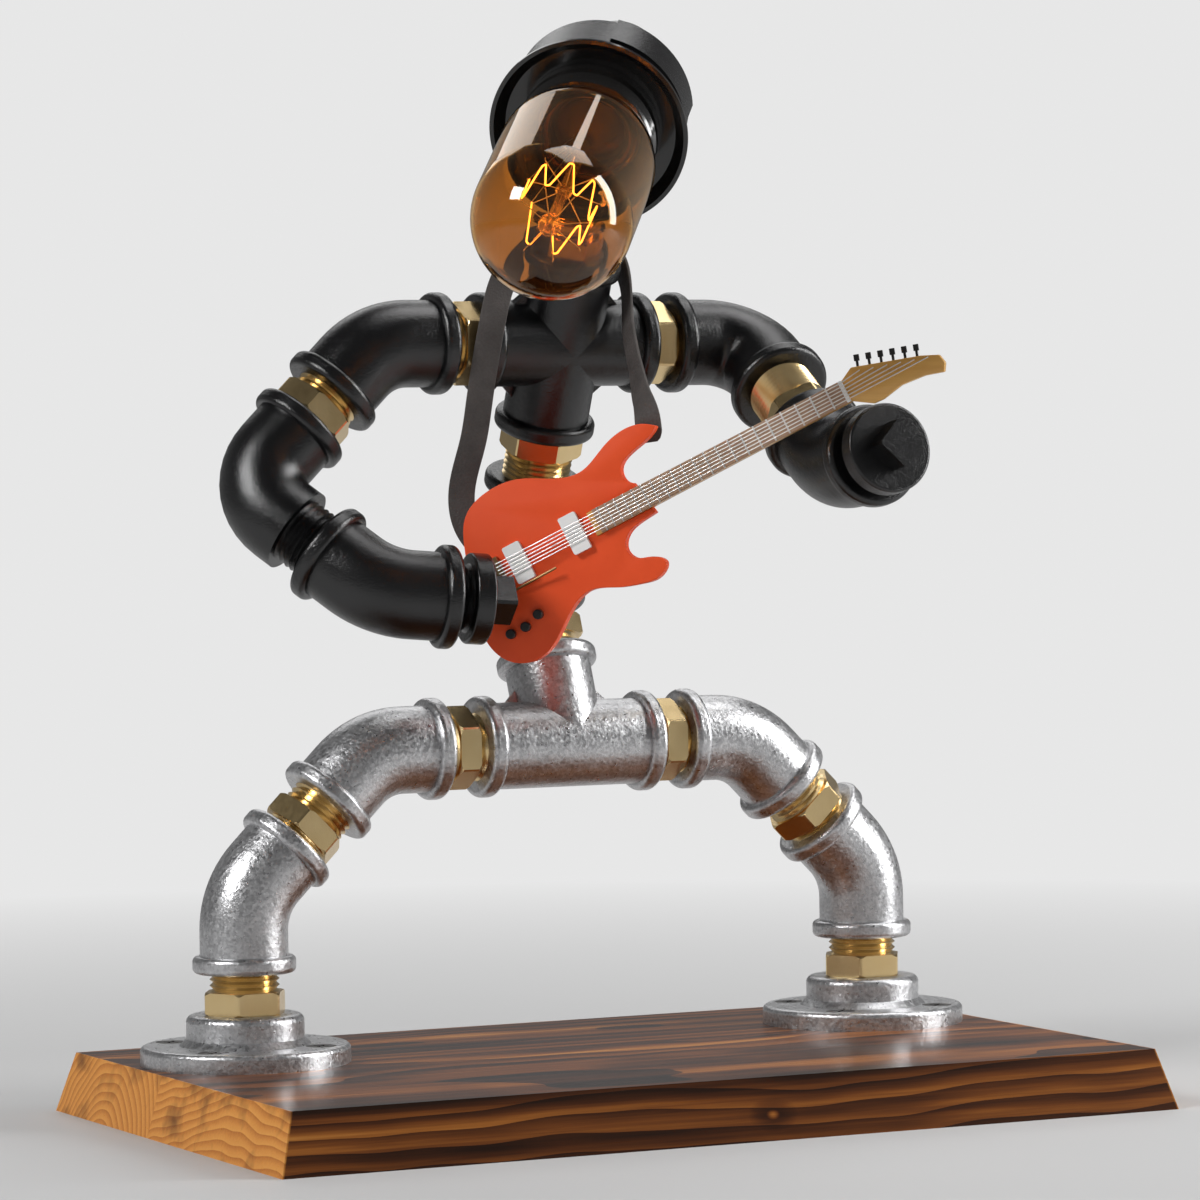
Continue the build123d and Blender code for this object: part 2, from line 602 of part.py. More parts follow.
def bulb_filament():
    legs = []
    for leg in range(FILAMENT_LEGS):
        here = math.radians(leg * 360.0 / FILAMENT_LEGS)
        there = math.radians((leg + 1) * 360.0 / FILAMENT_LEGS)
        high = stem_top
        low = stem_top - FILAMENT_LENGTH
        start = Vector(FILAMENT_CIRCLE_R * math.cos(here), FILAMENT_CIRCLE_R * math.sin(here),
                       high if leg % 2 == 0 else low)
        end = Vector(FILAMENT_CIRCLE_R * math.cos(there), FILAMENT_CIRCLE_R * math.sin(there),
                     low if leg % 2 == 0 else high)
        along = end - start
        bar = Solid.make_cylinder(FILAMENT_D / 2, along.length, Plane(origin=start, z_dir=along))
        legs.append(bar)
        legs.append(Pos(start) * Sphere(FILAMENT_D / 2))
    whole = legs[0]
    for leg in legs[1:]:
        whole = whole + leg
    return whole


head_builders = {
    "hood": hood, "shade_ring": shade_ring, "holder_skirt": holder_skirt, "holder_insert": holder_insert,
    "holder_contact": holder_contact, "holder_shell": holder_shell, "bulb_glass": bulb_glass,
    "bulb_cap": bulb_cap, "bulb_contact": bulb_contact, "bulb_stem": bulb_stem, "bulb_filament": bulb_filament,
}
for name, builder in head_builders.items():
    nodes[name] = placed(rim, builder())

# Miniature guitar
yaw = math.radians(VIEW_TURN)
rise = math.radians(GUITAR_RISE)
swing = math.radians(GUITAR_SWING)
tilt = math.radians(GUITAR_TILT)
view_right = Vector(math.cos(yaw), -math.sin(yaw), 0)
to_viewer = Vector(-math.sin(yaw), -math.cos(yaw), 0)
level_along = view_right * math.cos(rise) + Z_AXIS * math.sin(rise)
level_up = to_viewer.cross(level_along)
guitar_along = level_along * math.cos(swing) + to_viewer * math.sin(swing)
swung_out = to_viewer * math.cos(swing) - level_along * math.sin(swing)
guitar_out = swung_out * math.cos(tilt) + level_up * math.sin(tilt)
guitar_up = guitar_out.cross(guitar_along)
guitar_origin = Vector(*GUITAR_HOLD) - guitar_along * GUITAR_HOLD_AT[0] - guitar_up * GUITAR_HOLD_AT[1]
guitar = Plane(origin=guitar_origin, x_dir=guitar_along, z_dir=guitar_out)


def guitar_body():
    upper = Spline(HORN_TIP, *BODY_CURVE, HEEL)
    joint = Line(HEEL, NECK_JOINT)
    horn = Spline(NECK_JOINT, *HORN_CURVE, HORN_TIP)
    slab = extrude(make_face([upper, joint, horn]), -GUITAR_BODY_THICK)
    pocket_start = FRETBOARD_END_X - 2.0
    pocket = Box(HEEL[0] - pocket_start + 6, FRETBOARD_W_BODY + 0.1, NECK_THICK - NECK_PROUD,
                 align=(Align.MIN, Align.CENTER, Align.MAX))
    slab -= Pos(pocket_start, 0, 0) * pocket
    return slab


def board_half_width(x):
    share = (x - FRETBOARD_END_X) / (NUT_X - FRETBOARD_END_X)
    return (FRETBOARD_W_BODY + (FRETBOARD_W_NUT - FRETBOARD_W_BODY) * share) / 2


def neck_slab(start, end, low, high):
    outline = Polyline((start, -board_half_width(start)), (end, -board_half_width(end)),
                       (end, board_half_width(end)), (start, board_half_width(start)), close=True)
    return extrude(Plane(origin=(0, 0, low)) * make_face(outline), high - low)


def guitar_neck():
    back = NECK_PROUD - NECK_THICK
    neck = neck_slab(FRETBOARD_END_X - 2.0, NUT_X, back, NECK_PROUD)
    head_back = NECK_PROUD - HEADSTOCK_THICK
    paddle = extrude(Plane(origin=(0, 0, head_back)) * make_face(Polyline(*HEADSTOCK, close=True)), HEADSTOCK_THICK)
    return neck + paddle


def fretboard():
    top = NECK_PROUD + FRETBOARD_THICK
    board = neck_slab(FRETBOARD_END_X, NUT_X - 1.2, NECK_PROUD, top)
    nut = Box(1.2, FRETBOARD_W_NUT, FRETBOARD_THICK + 0.6, align=(Align.MAX, Align.CENTER, Align.MIN))
    board += Pos(NUT_X, 0, NECK_PROUD) * nut
    for fret in range(1, FRET_COUNT + 1):
        x = NUT_X - FRET_FIRST * (1 - FRET_RATIO ** fret) / (1 - FRET_RATIO)
        wire = Box(FRET_W, 2 * board_half_width(x), FRET_PROUD + 0.2)
        board += Pos(x, 0, top + FRET_PROUD / 2 - 0.1) * wire
    return board


def peg_place(index):
    share = index / (STRING_COUNT - 1)
    return Vector(96.4 + share * 19.8, 3.6 - share * 6.0, 0)


def guitar_strings():
    strings = []
    for index in range(STRING_COUNT):
        y = STRING_SPREAD * (0.5 - index / (STRING_COUNT - 1))
        start = Vector(BRIDGE_X + 1.0, y, STRING_HEIGHT)
        over_nut = Vector(NUT_X - 0.6, y, STRING_HEIGHT)
        post = peg_place(index) + Vector(0, 0, NECK_PROUD + 0.8)
        long_run = over_nut - start
        short_run = post - over_nut
        wire = Solid.make_cylinder(STRING_D / 2, long_run.length, Plane(origin=start, z_dir=long_run))
        tail = Solid.make_cylinder(STRING_D / 2, short_run.length, Plane(origin=over_nut, z_dir=short_run))
        strings.append(wire + tail + Pos(over_nut) * Sphere(STRING_D / 2))
    return strings


def guitar_pickups():
    size = PICKUP_SIZE
    block = fillet(Box(*size, align=(Align.CENTER, Align.CENTER, Align.MIN)).edges().filter_by(Axis.Z), 0.6)
    return [Pos(x, 0, 0) * block for x in PICKUP_X]


def guitar_bridge():
    length, width, height = BRIDGE_SIZE
    plate = Pos(BRIDGE_X, 0, 0) * Box(length, width, height, align=(Align.CENTER, Align.CENTER, Align.MIN))
    start = Vector(*TREMOLO_START, height / 2)
    end = Vector(*TREMOLO_END, height + 1.0)
    root = Pos(BRIDGE_X + 1.0, TREMOLO_START[1] / 2, height / 2) * Box(1.6, abs(TREMOLO_START[1]) + 0.8, 1.2)
    along = end - start
    arm = Solid.make_cylinder(TREMOLO_D / 2, along.length, Plane(origin=start, z_dir=along))
    return plate + root + arm


def guitar_knobs():
    knob = fillet(tube_along(0, KNOB_H, KNOB_R).edges().filter_by(GeomType.CIRCLE).sort_by(Axis.Z)[-1], 0.4)
    return [Pos(x, y, 0) * knob for x, y in KNOB_PLACES]


def guitar_tuners():
    pegs = []
    edge_along = (Vector(*HEADSTOCK[2]) - Vector(*HEADSTOCK[1])).normalized()
    edge_out = Vector(-edge_along.Y, edge_along.X)
    back = NECK_PROUD - HEADSTOCK_THICK
    for index in range(STRING_COUNT):
        share = index / (STRING_COUNT - 1)
        edge = Vector(*HEADSTOCK[1]) + edge_along * (1.6 + share * 18.0)
        frame = Plane(origin=edge, x_dir=edge_along, z_dir=Z_AXIS)
        shaft = Rot(-90, 0, 0) * Cylinder(PEG_R * 0.6, PEG_LENGTH)
        key = Pos(0, PEG_LENGTH / 2 + 0.4, 0) * Box(*PEG_KEY)
        housing = Pos(0, -2.6, 0) * Box(2.2, 3.2, 1.2)
        peg = Pos(0, PEG_LENGTH / 2 - 1.2, -0.8) * (shaft + key)
        peg += Pos(0, 0, -0.6) * housing
        pegs.append(Pos(0, 0, back) * placed(frame, peg))
    return pegs


def strap_buttons():
    buttons = []
    for x, y in (REAR_BUTTON, HORN_BUTTON):
        back = -GUITAR_BODY_THICK
        pin = tube_along(back - BUTTON_STAND, back, BUTTON_PIN_R)
        cap_low = back - BUTTON_STAND - BUTTON_H
        cap = tube_along(cap_low, cap_low + BUTTON_H, BUTTON_R)
        buttons.append(Pos(x, y, 0) * (pin + cap))
    return buttons


guitar_builders = {
    "guitar_body": guitar_body, "guitar_neck": guitar_neck, "guitar_fretboard": fretboard,
    "guitar_strings": guitar_strings, "guitar_pickups": guitar_pickups, "guitar_bridge": guitar_bridge,
    "guitar_knobs": guitar_knobs, "guitar_tuners": guitar_tuners, "strap_buttons": strap_buttons,
}
for name, builder in guitar_builders.items():
    made = builder()
    pieces = made if isinstance(made, list) else [made]
    nodes[name] = [placed(guitar, piece) for piece in pieces]


# Strap: flat sections from the body's back, up round the neck and down to the horn
def on_guitar(x, y, z):
    return guitar.origin + guitar.x_dir * x + guitar.y_dir * y + guitar.z_dir * z


def view_point(across, depth, height):
    return Vector(across * math.cos(yaw) + depth * math.sin(yaw), -across * math.sin(yaw) + depth * math.cos(yaw), height)


strap_back = -GUITAR_BODY_THICK - SEAT_GAP * 1.5 - STRAP_THICK / 2
collar_centre = cross_centre + neck_dir * (CROSS_REACH - BEAD_WIDTH / 2)
collar_back = Vector(1, 0, 0).cross(neck_dir) * -1


def collar_point(turn, rise_along):
    angle = math.radians(turn)
    out = Vector(1, 0, 0) * math.sin(angle) + collar_back * math.cos(angle)
    return collar_centre + out * STRAP_COLLAR_R + neck_dir * rise_along


into_view = to_viewer * -1
hanging = Vector(0, 0.8, -0.6)
strap_stations = [
    (on_guitar(REAR_BUTTON[0] + 1.0, REAR_BUTTON[1] - 5.0, strap_back - 0.1), guitar_along),
    (on_guitar(*REAR_BUTTON, strap_back - 0.1), guitar_along),
    (on_guitar(REAR_BUTTON[0] - 1.2, REAR_BUTTON[1] + 6.0, strap_back - 0.2), guitar_along),
    (view_point(-42.6, 1.0, 187.0), view_right),
    (view_point(-38.9, 0.6, 202.7), view_right),
    (view_point(-36.9, 0.2, 214.1), view_right),
    (view_point(-34.4, -0.2, 229.0), view_right),
    (view_point(-32.0, 0.0, 241.0), view_right),
    (view_point(-29.0, 5.0, 251.5), view_right + into_view * 0.4),
    (collar_point(-78, 2.0), neck_dir * -1),
    (collar_point(-40, 2.0), neck_dir * -1),
    (collar_point(0, 2.0), neck_dir * -1),
    (collar_point(40, 2.0), neck_dir * -1),
    (collar_point(78, 0.5), neck_dir * -1),
    (view_point(8.3, 14.5, 238.0), hanging),
    (view_point(10.2, 4.0, 225.2), hanging),
    (view_point(12.2, -6.8, 214.6), hanging * 0.6 - guitar_along * 0.4),
    (on_guitar(HORN_BUTTON[0] + 1.2, HORN_BUTTON[1] + 3.6, strap_back - 0.5), guitar_along * -1),
    (on_guitar(*HORN_BUTTON, strap_back - 0.05), guitar_along * -1),
    (on_guitar(HORN_BUTTON[0] - 1.2, HORN_BUTTON[1] - 3.4, strap_back - 0.05), guitar_along * -1),
]


def strap():
    points = [station[0] for station in strap_stations]
    widths = [station[1].normalized() for station in strap_stations]
    steps = [0.0]
    for first, second in zip(points, points[1:]):
        steps.append(steps[-1] + (second - first).length)
    path = Spline(*points)
    sections = []
    for index in range(STRAP_SECTIONS):
        share = index / (STRAP_SECTIONS - 1)
        here = path @ share
        along = path % share
        reach = share * steps[-1]
        leg = max(i for i in range(len(steps) - 1) if steps[i] <= reach + 1e-6)
        blend = (reach - steps[leg]) / (steps[leg + 1] - steps[leg])
        across = widths[leg] * (1 - blend) + widths[leg + 1] * blend
        across = across - along * across.dot(along)
        frame = Plane(origin=here, x_dir=across, z_dir=along)
        to_end = min(share, 1 - share) * steps[-1]
        width = STRAP_WIDTH * min(1.0, 0.55 + 0.45 * to_end / STRAP_TAPER)
        sections.append(frame * Rectangle(width, STRAP_THICK))
    band = loft(sections, ruled=True)
    for x, y in (REAR_BUTTON, HORN_BUTTON):
        slot = extrude(Plane(origin=(x, y, -GUITAR_BODY_THICK - 4)) * Circle(BUTTON_PIN_R + SEAT_GAP), 5)
        band -= placed(guitar, slot)
    return band


nodes["strap"] = strap()


# Base: two planks glued edge to edge, bored for the lead and for the screws
def base_planks():
    taper = math.degrees(math.atan(BASE_FLARE / BASE_THICK))
    block = extrude(Rectangle(BASE_LENGTH + 2 * BASE_FLARE, BASE_WIDTH + 2 * BASE_FLARE), BASE_THICK, taper=taper)
    for foot_x in feet.values():
        for place in PolarLocations(SCREW_CIRCLE_R, SCREW_COUNT, start_angle=45):
            block -= Pos(foot_x, LEG_LINE_Y, BASE_THICK - PILOT_DEPTH / 2) * place * Cylinder(PILOT_R, PILOT_DEPTH)
    bore_low = CORD_BORE_Z - CORD_HOLE_R
    shaft = tube_along(bore_low, BASE_THICK + 1, CORD_HOLE_R)
    block -= Pos(feet["left"], LEG_LINE_Y, 0) * shaft
    block -= cord_bore(LEG_LINE_Y, BASE_WIDTH)
    rear = Pos(0, SEAM_Y, 0) * Box(400, 400, 100, align=(Align.CENTER, Align.MIN, Align.CENTER))
    front = Pos(0, SEAM_Y, 0) * Box(400, 400, 100, align=(Align.CENTER, Align.MAX, Align.CENTER))
    return block & rear, block & front


def cord_bore(start, end, radius=CORD_BORE_R):
    length = end - start
    return Pos(feet["left"], start + length / 2, CORD_BORE_Z) * Rot(90, 0, 0) * Cylinder(radius, length)


def cord_grommet():
    mouth_y = BASE_WIDTH / 2 + BASE_FLARE * (1 - CORD_BORE_Z / BASE_THICK)
    sleeve = cord_bore(mouth_y - GROMMET_LENGTH, mouth_y + 6, CORD_BORE_R - THREAD_CLEAR)
    sleeve -= cord_bore(mouth_y - GROMMET_LENGTH - 1, mouth_y + 7, LEAD_D / 2 + 0.1)
    slope = math.degrees(math.atan(BASE_FLARE / BASE_THICK))
    beyond = Box(40, 20, 60, align=(Align.CENTER, Align.MIN, Align.CENTER))
    return sleeve - Pos(feet["left"], mouth_y + GROMMET_PROUD, CORD_BORE_Z) * Rot(slope, 0, 0) * beyond


nodes["base_rear_plank"], nodes["base_front_plank"] = base_planks()
nodes["cord_grommet"] = cord_grommet()


# Lead inside the pipes, in one length for each body it passes through
def lead_run(points, radii):
    edges = []
    here = points[0]
    for index in range(1, len(points) - 1):
        corner = points[index]
        way_in = (corner - points[index - 1]).normalized()
        way_out = (points[index + 1] - corner).normalized()
        angle = math.acos(max(-1.0, min(1.0, way_in.dot(way_out))))
        cut = radii[index - 1] * math.tan(angle / 2)
        start = corner - way_in * cut
        end = corner + way_out * cut
        inner = (way_out - way_in).normalized()
        depth = radii[index - 1] * (1 / math.cos(angle / 2) - 1)
        edges.append(Line(here, start))
        edges.append(ThreePointArc(start, corner + inner * depth, end))
        here = end
    edges.append(Line(here, points[-1]))
    path = Wire(edges)
    section = Plane(origin=points[0], z_dir=points[1] - points[0]) * Circle(LEAD_D / 2)
    return sweep(section, path=path)


def elbow_centre(inlet, reach):
    return inlet.origin + inlet.z_dir * reach


left_hip = port(tee_centre - Vector(TEE_REACH, 0, 0), (-1, 0, 0), DOWN)
thigh_centre = left_hip.origin + left_hip.z_dir * (HIP_GAP_LEFT + ELBOW45_REACH)
shin_centre = Vector(feet["left"], LEG_LINE_Y, flange_top + ANKLE_GAP + ELBOW45_REACH)
spine_centre = elbow_centre(spine_in, ELBOW45_REACH)
neck_split = neck_port.origin + neck_dir * NECK_GAP
head_split = neck_mid.origin + neck_mid.z_dir * MIDDLE_NECK_GAP
low_neck_centre = elbow_centre(neck_low, ELBOW45_REACH)
high_neck_centre = elbow_centre(neck_high, HEAD_ELBOW_REACH)
lead_end = rim.origin + rim.z_dir * (insert_back - LEAD_END_GAP * 2)
mouth = Vector(feet["left"], BASE_WIDTH / 2, CORD_BORE_Z)
nodes["lead_base"] = lead_run(
    [mouth, Vector(feet["left"], LEG_LINE_Y, CORD_BORE_Z), shin_centre, thigh_centre, tee_centre, spine_centre,
     neck_split - neck_dir * LEAD_END_GAP],
    [LEAD_CORNER_R] + [LEAD_BEND_R] * 4)
nodes["lead_neck"] = lead_run(
    [neck_split + neck_dir * LEAD_END_GAP, low_neck_centre, head_split - neck_mid.z_dir * LEAD_END_GAP],
    [LEAD_BEND_R])
nodes["lead_head"] = lead_run(
    [head_split + neck_mid.z_dir * LEAD_END_GAP, high_neck_centre, lead_end], [LEAD_BEND_R])

for name, made in nodes.items():
    solids = []
    for piece in made if isinstance(made, list) else [made]:
        solids += piece.solids()
    shape = solids[0] if len(solids) == 1 else Compound(children=solids)
    export_step(shape, os.path.join("parts", name + ".step"))
    box = shape.bounding_box()
    print(f"{name:24s} {len(solids)} solids, {shape.volume:10.1f} mm3, "
          f"x {box.min.X:.1f} {box.max.X:.1f}  y {box.min.Y:.1f} {box.max.Y:.1f}  z {box.min.Z:.1f} {box.max.Z:.1f}")
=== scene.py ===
import json
import math

import bmesh
import bpy
import numpy as np
from mathutils import Matrix, Vector


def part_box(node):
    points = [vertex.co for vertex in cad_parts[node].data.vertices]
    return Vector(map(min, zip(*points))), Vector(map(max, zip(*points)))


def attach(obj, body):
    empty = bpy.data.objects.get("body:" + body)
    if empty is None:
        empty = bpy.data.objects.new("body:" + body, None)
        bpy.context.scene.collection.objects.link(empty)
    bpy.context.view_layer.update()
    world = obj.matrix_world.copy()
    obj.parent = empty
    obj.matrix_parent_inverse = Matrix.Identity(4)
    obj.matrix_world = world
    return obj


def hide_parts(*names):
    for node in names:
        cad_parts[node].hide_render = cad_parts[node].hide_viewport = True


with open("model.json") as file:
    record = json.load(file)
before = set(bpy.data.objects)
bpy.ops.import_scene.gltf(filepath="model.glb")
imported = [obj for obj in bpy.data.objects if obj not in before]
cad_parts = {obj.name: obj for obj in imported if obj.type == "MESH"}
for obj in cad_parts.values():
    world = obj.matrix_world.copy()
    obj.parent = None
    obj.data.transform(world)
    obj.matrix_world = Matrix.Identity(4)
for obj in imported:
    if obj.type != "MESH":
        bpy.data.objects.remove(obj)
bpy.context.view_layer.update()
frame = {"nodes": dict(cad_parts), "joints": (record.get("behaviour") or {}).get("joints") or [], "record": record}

# Camera at the photograph's angle
CAMERA_PLACE = Vector((-0.706, -1.448, 0.201))
CAMERA_TURN = math.radians(25.946)
CAMERA_PITCH = math.radians(1.66)
CAMERA_ROLL = math.radians(0.8)
CAMERA_LENS = 160.3
SENSOR = 36.0
NEAR_CLIP, FAR_CLIP = 0.05, 30.0


def make_camera():
    level = math.cos(CAMERA_PITCH)
    ahead = Vector((math.sin(CAMERA_TURN) * level, math.cos(CAMERA_TURN) * level, -math.sin(CAMERA_PITCH)))
    right = Vector((math.cos(CAMERA_TURN), -math.sin(CAMERA_TURN), 0.0))
    up = right.cross(ahead)
    rolled_up = up * math.cos(CAMERA_ROLL) + right * math.sin(CAMERA_ROLL)
    rolled_right = right * math.cos(CAMERA_ROLL) - up * math.sin(CAMERA_ROLL)
    turn = Matrix((rolled_right, rolled_up, -ahead)).transposed().to_4x4()
    data = bpy.data.cameras.new("camera")
    data.lens = CAMERA_LENS
    data.sensor_width = SENSOR
    data.clip_start = NEAR_CLIP
    data.clip_end = FAR_CLIP
    camera = bpy.data.objects.new("camera", data)
    camera.matrix_world = Matrix.Translation(CAMERA_PLACE) @ turn
    bpy.context.scene.collection.objects.link(camera)
    bpy.context.scene.camera = camera


make_camera()
bpy.context.scene.view_settings.view_transform = "Standard"


class Socket:
    """An output in a node tree. Python's operators on it add Math nodes."""

    def __init__(self, tree, socket):
        self.tree = tree
        self.socket = socket

    def __add__(self, other):
        return self.tree.math("ADD", self, other)

    def __sub__(self, other):
        return self.tree.math("SUBTRACT", self, other)

    def __mul__(self, other):
        return self.tree.math("MULTIPLY", self, other)

    def __truediv__(self, other):
        return self.tree.math("DIVIDE", self, other)

    def __rsub__(self, other):
        return self.tree.math("SUBTRACT", other, self)

    def __rpow__(self, other):
        return self.tree.math("POWER", other, self)

    __radd__ = __add__
    __rmul__ = __mul__


class Tree:
    """A node tree that is filled by one method."""

    def __init__(self, tree):
        self.tree = tree

    def node(self, kind, values=None, output=0, **settings):
        made = self.tree.nodes.new(kind)
        stops = settings.pop("stops", None)
        for key, value in settings.items():
            setattr(made, key, value)
        if stops:
            elements = made.color_ramp.elements
            elements.remove(elements[-1])
            elements[0].position, elements[0].color = stops[0]
            for place, colour in stops[1:]:
                elements.new(place).color = colour
        for key, value in (values or {}).items():
            if isinstance(value, Socket):
                self.tree.links.new(value.socket, made.inputs[key])
            else:
                made.inputs[key].default_value = value
        return Socket(self, made.outputs[output])

    def math(self, operation, *values):
        return self.node("ShaderNodeMath", dict(enumerate(values)), operation=operation)

    def limit(self, value, low, high):
        return self.node("ShaderNodeMapRange", {0: value, 1: low, 2: high}, clamp=True)


class Finish(Tree):
    """A material: a Principled shader whose varying inputs come from patterns on Object coordinates."""

    def __init__(self, name, **constants):
        self.material = bpy.data.materials.new(name)
        self.material.use_nodes = True
        super().__init__(self.material.node_tree)
        self.shader = self.tree.nodes["Principled BSDF"]
        for key, value in constants.items():
            self.shader.inputs[key.replace("_", " ")].default_value = value
        self.place = self.node("ShaderNodeTexCoord", output="Object")

    def feed(self, name, value):
        self.tree.links.new(value.socket, self.shader.inputs[name])

    def stretched(self, scale, turn=(0, 0, 0), move=(0, 0, 0)):
        values = {"Vector": self.place, "Scale": scale, "Rotation": turn, "Location": move}
        return self.node("ShaderNodeMapping", values)

    def noise(self, scale, detail=3.0, rough=0.5, place=None):
        values = {"Vector": place or self.place, "Scale": scale, "Detail": detail, "Roughness": rough}
        return self.node("ShaderNodeTexNoise", values)

    def cells(self, scale, output):
        return self.node("ShaderNodeTexVoronoi", {"Vector": self.place, "Scale": scale}, output=output)

    def axis(self, name):
        return self.node("ShaderNodeSeparateXYZ", {"Vector": self.place}, output=name)

    def mix(self, share, first, second):
        return self.node("ShaderNodeMix", {0: share, 6: first, 7: second}, output=2, data_type="RGBA")

    def ramp(self, value, stops):
        stops = [(place, (*colour, 1.0)) for place, colour in stops]
        return self.node("ShaderNodeValToRGB", {"Fac": value}, stops=stops)

    def bump(self, height, strength, distance):
        values = {"Height": height, "Strength": strength, "Distance": distance}
        self.feed("Normal", self.node("ShaderNodeBump", values))


def grey(level):
    return (level, level, level, 1.0)


def aimed(place, way, axis):
    """The matrix that puts an object at a place with one of its axes along a direction."""
    return Matrix.Translation(place) @ way.to_track_quat(axis, "Y").to_matrix().to_4x4()


def galvanised():
    finish = Finish("galvanised casting", Metallic=0.95)
    cloud = finish.noise(45.0, 3.0)
    grain = finish.noise(1000.0, 3.0, 0.6)
    fleck = finish.cells(1300.0, "Color")
    fleck_tone = finish.node("ShaderNodeSeparateColor", {"Color": fleck}, output=0)
    tone = finish.limit(cloud * 0.35 + fleck_tone * 0.25 + grain * 0.40, 0.30, 0.75)
    finish.feed("Base Color", finish.mix(tone, (0.42, 0.42, 0.43, 1), (0.78, 0.78, 0.79, 1)))
    finish.feed("Roughness", 0.27 + fleck_tone * 0.14)
    lumps = finish.noise(420.0, 2.0)
    finish.bump(grain * 0.7 + lumps * 0.9, 0.55, 0.00035)
    return finish.material


def black_casting():
    finish = Finish("black casting", Specular_IOR_Level=0.7)
    cloud = finish.noise(70.0, 3.0)
    grain = finish.noise(2100.0, 3.0, 0.6)
    finish.feed("Base Color", finish.mix(cloud, (0.0015, 0.0015, 0.0017, 1), (0.006, 0.006, 0.0066, 1)))
    finish.feed("Roughness", 0.16 + cloud * 0.10)
    finish.bump(grain * 0.9 + finish.noise(700.0, 2.0) * 0.6, 0.42, 0.0003)
    return finish.material


def brass():
    finish = Finish("turned brass", Metallic=1.0)
    cloud = finish.noise(110.0, 4.0)
    scratch = finish.noise(700.0, 4.0, 0.7, finish.stretched((1.0, 1.0, 0.12)))
    finish.feed("Base Color", finish.mix(cloud, (0.70, 0.49, 0.22, 1), (0.92, 0.72, 0.40, 1)))
    finish.feed("Roughness", 0.13 + cloud * 0.10 + scratch * 0.10)
    finish.bump(scratch, 0.18, 0.0001)
    return finish.material


# The base's sides lean in by BASE_LEAN from its foot to its top
BASE_LEAN = 0.005
base_low, base_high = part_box("base_front_plank")
base_height = base_high.z
KNOT_PLACE = (0.009, -0.0865, 0.007)
KNOT_STRETCH = (1.0, 1.6, 1.6)
END_RING_SHARE = 0.62
TORCHED_FACE = [(0.0, (0.010, 0.004, 0.002)), (0.30, (0.062, 0.018, 0.005)), (0.58, (0.20, 0.060, 0.012)),
                (0.82, (0.42, 0.145, 0.026)), (1.0, (0.70, 0.31, 0.07))]
END_GRAIN = [(0.0, (0.80, 0.38, 0.090)), (0.45, (0.70, 0.29, 0.060)), (0.78, (0.52, 0.18, 0.034)),
             (1.0, (0.34, 0.10, 0.020))]
SCORCHED_END = (0.07, 0.022, 0.008, 1)
SOOTY_FRONT = (0.030, 0.011, 0.005, 1)


def knot_masks(finish):
    """The knot itself, and the burnt ring round it."""
    beside = finish.node("ShaderNodeVectorMath", {0: finish.place, 1: KNOT_PLACE}, operation="SUBTRACT")
    flat = finish.node("ShaderNodeVectorMath", {0: beside, 1: KNOT_STRETCH}, operation="MULTIPLY")
    away = finish.node("ShaderNodeVectorMath", {0: flat}, output=1, operation="LENGTH")
    return 1.0 - finish.limit(away, 0.0022, 0.0034), 1.0 - finish.limit(away, 0.0030, 0.0085)


def torched_pine(name, pith_y, pith_z, spacing, seed):
    """Growth rings round a pith line along X, burnt darker in streaks, with paler end grain."""
    finish = Finish(name, Coat_Roughness=0.10, Specular_IOR_Level=0.15)
    x, y, z = (finish.axis(axis) for axis in "XYZ")
    drift = finish.noise(1.0, 2.0, 0.5, finish.stretched((9.0, 22.0, 22.0), move=(seed, seed, 0.0)))
    fibre = finish.noise(1.0, 4.0, 0.65, finish.stretched((14.0, 900.0, 900.0), move=(0.0, seed, 0.0)))
    streak = finish.noise(1.0, 3.0, 0.55, finish.stretched((3.5, 70.0, 70.0), move=(seed * 2, 0.0, seed)))
    wave = (drift - 0.5) * 0.020
    across = y - pith_y + wave
    depth = z - pith_z + wave * 0.6
    radius = finish.math("SQRT", across * across + depth * depth)
    late = finish.limit(finish.math("FRACT", radius / spacing + drift * 0.9), 0.25, 0.97)
    end_ring = finish.math("FRACT", radius / (spacing * END_RING_SHARE) + drift * 0.9)

    lean = (z - base_height) * (BASE_LEAN / base_height)
    end_edge = base_high.x - BASE_LEAN
    front_edge = -base_low.y - BASE_LEAN
    end = finish.limit(finish.math("ABSOLUTE", x) + lean, end_edge - 0.0006, end_edge - 0.0001)
    front = finish.limit(lean - y, front_edge - 0.0004, front_edge)

    knot, burnt_ring = knot_masks(finish)
    burn = finish.limit(streak * 1.5 + late * 0.36 + fibre * 0.42, 0.62, 1.42)
    burn = finish.limit(burn + burnt_ring * 0.30 - knot * 0.9, 0.0, 1.0)
    faces = finish.ramp(1.0 - burn, TORCHED_FACE)
    ends = finish.ramp(finish.limit(end_ring, 0.1, 0.95) * 0.55 + fibre * 0.45, END_GRAIN)
    scorch = finish.limit(streak + finish.limit(z, 0.010, base_height) * 0.10, 0.56, 0.80)
    body = finish.mix(end, faces, finish.mix(scorch * 0.8, ends, SCORCHED_END))
    finish.feed("Base Color", finish.mix(front * 0.35, body, SOOTY_FRONT))
    finish.feed("Roughness", 0.24 + fibre * 0.10)
    finish.feed("Coat Weight", 0.22 - end * 0.14)
    finish.bump(late * 0.5 + fibre * 0.5, 0.16, 0.0003)
    return finish.material


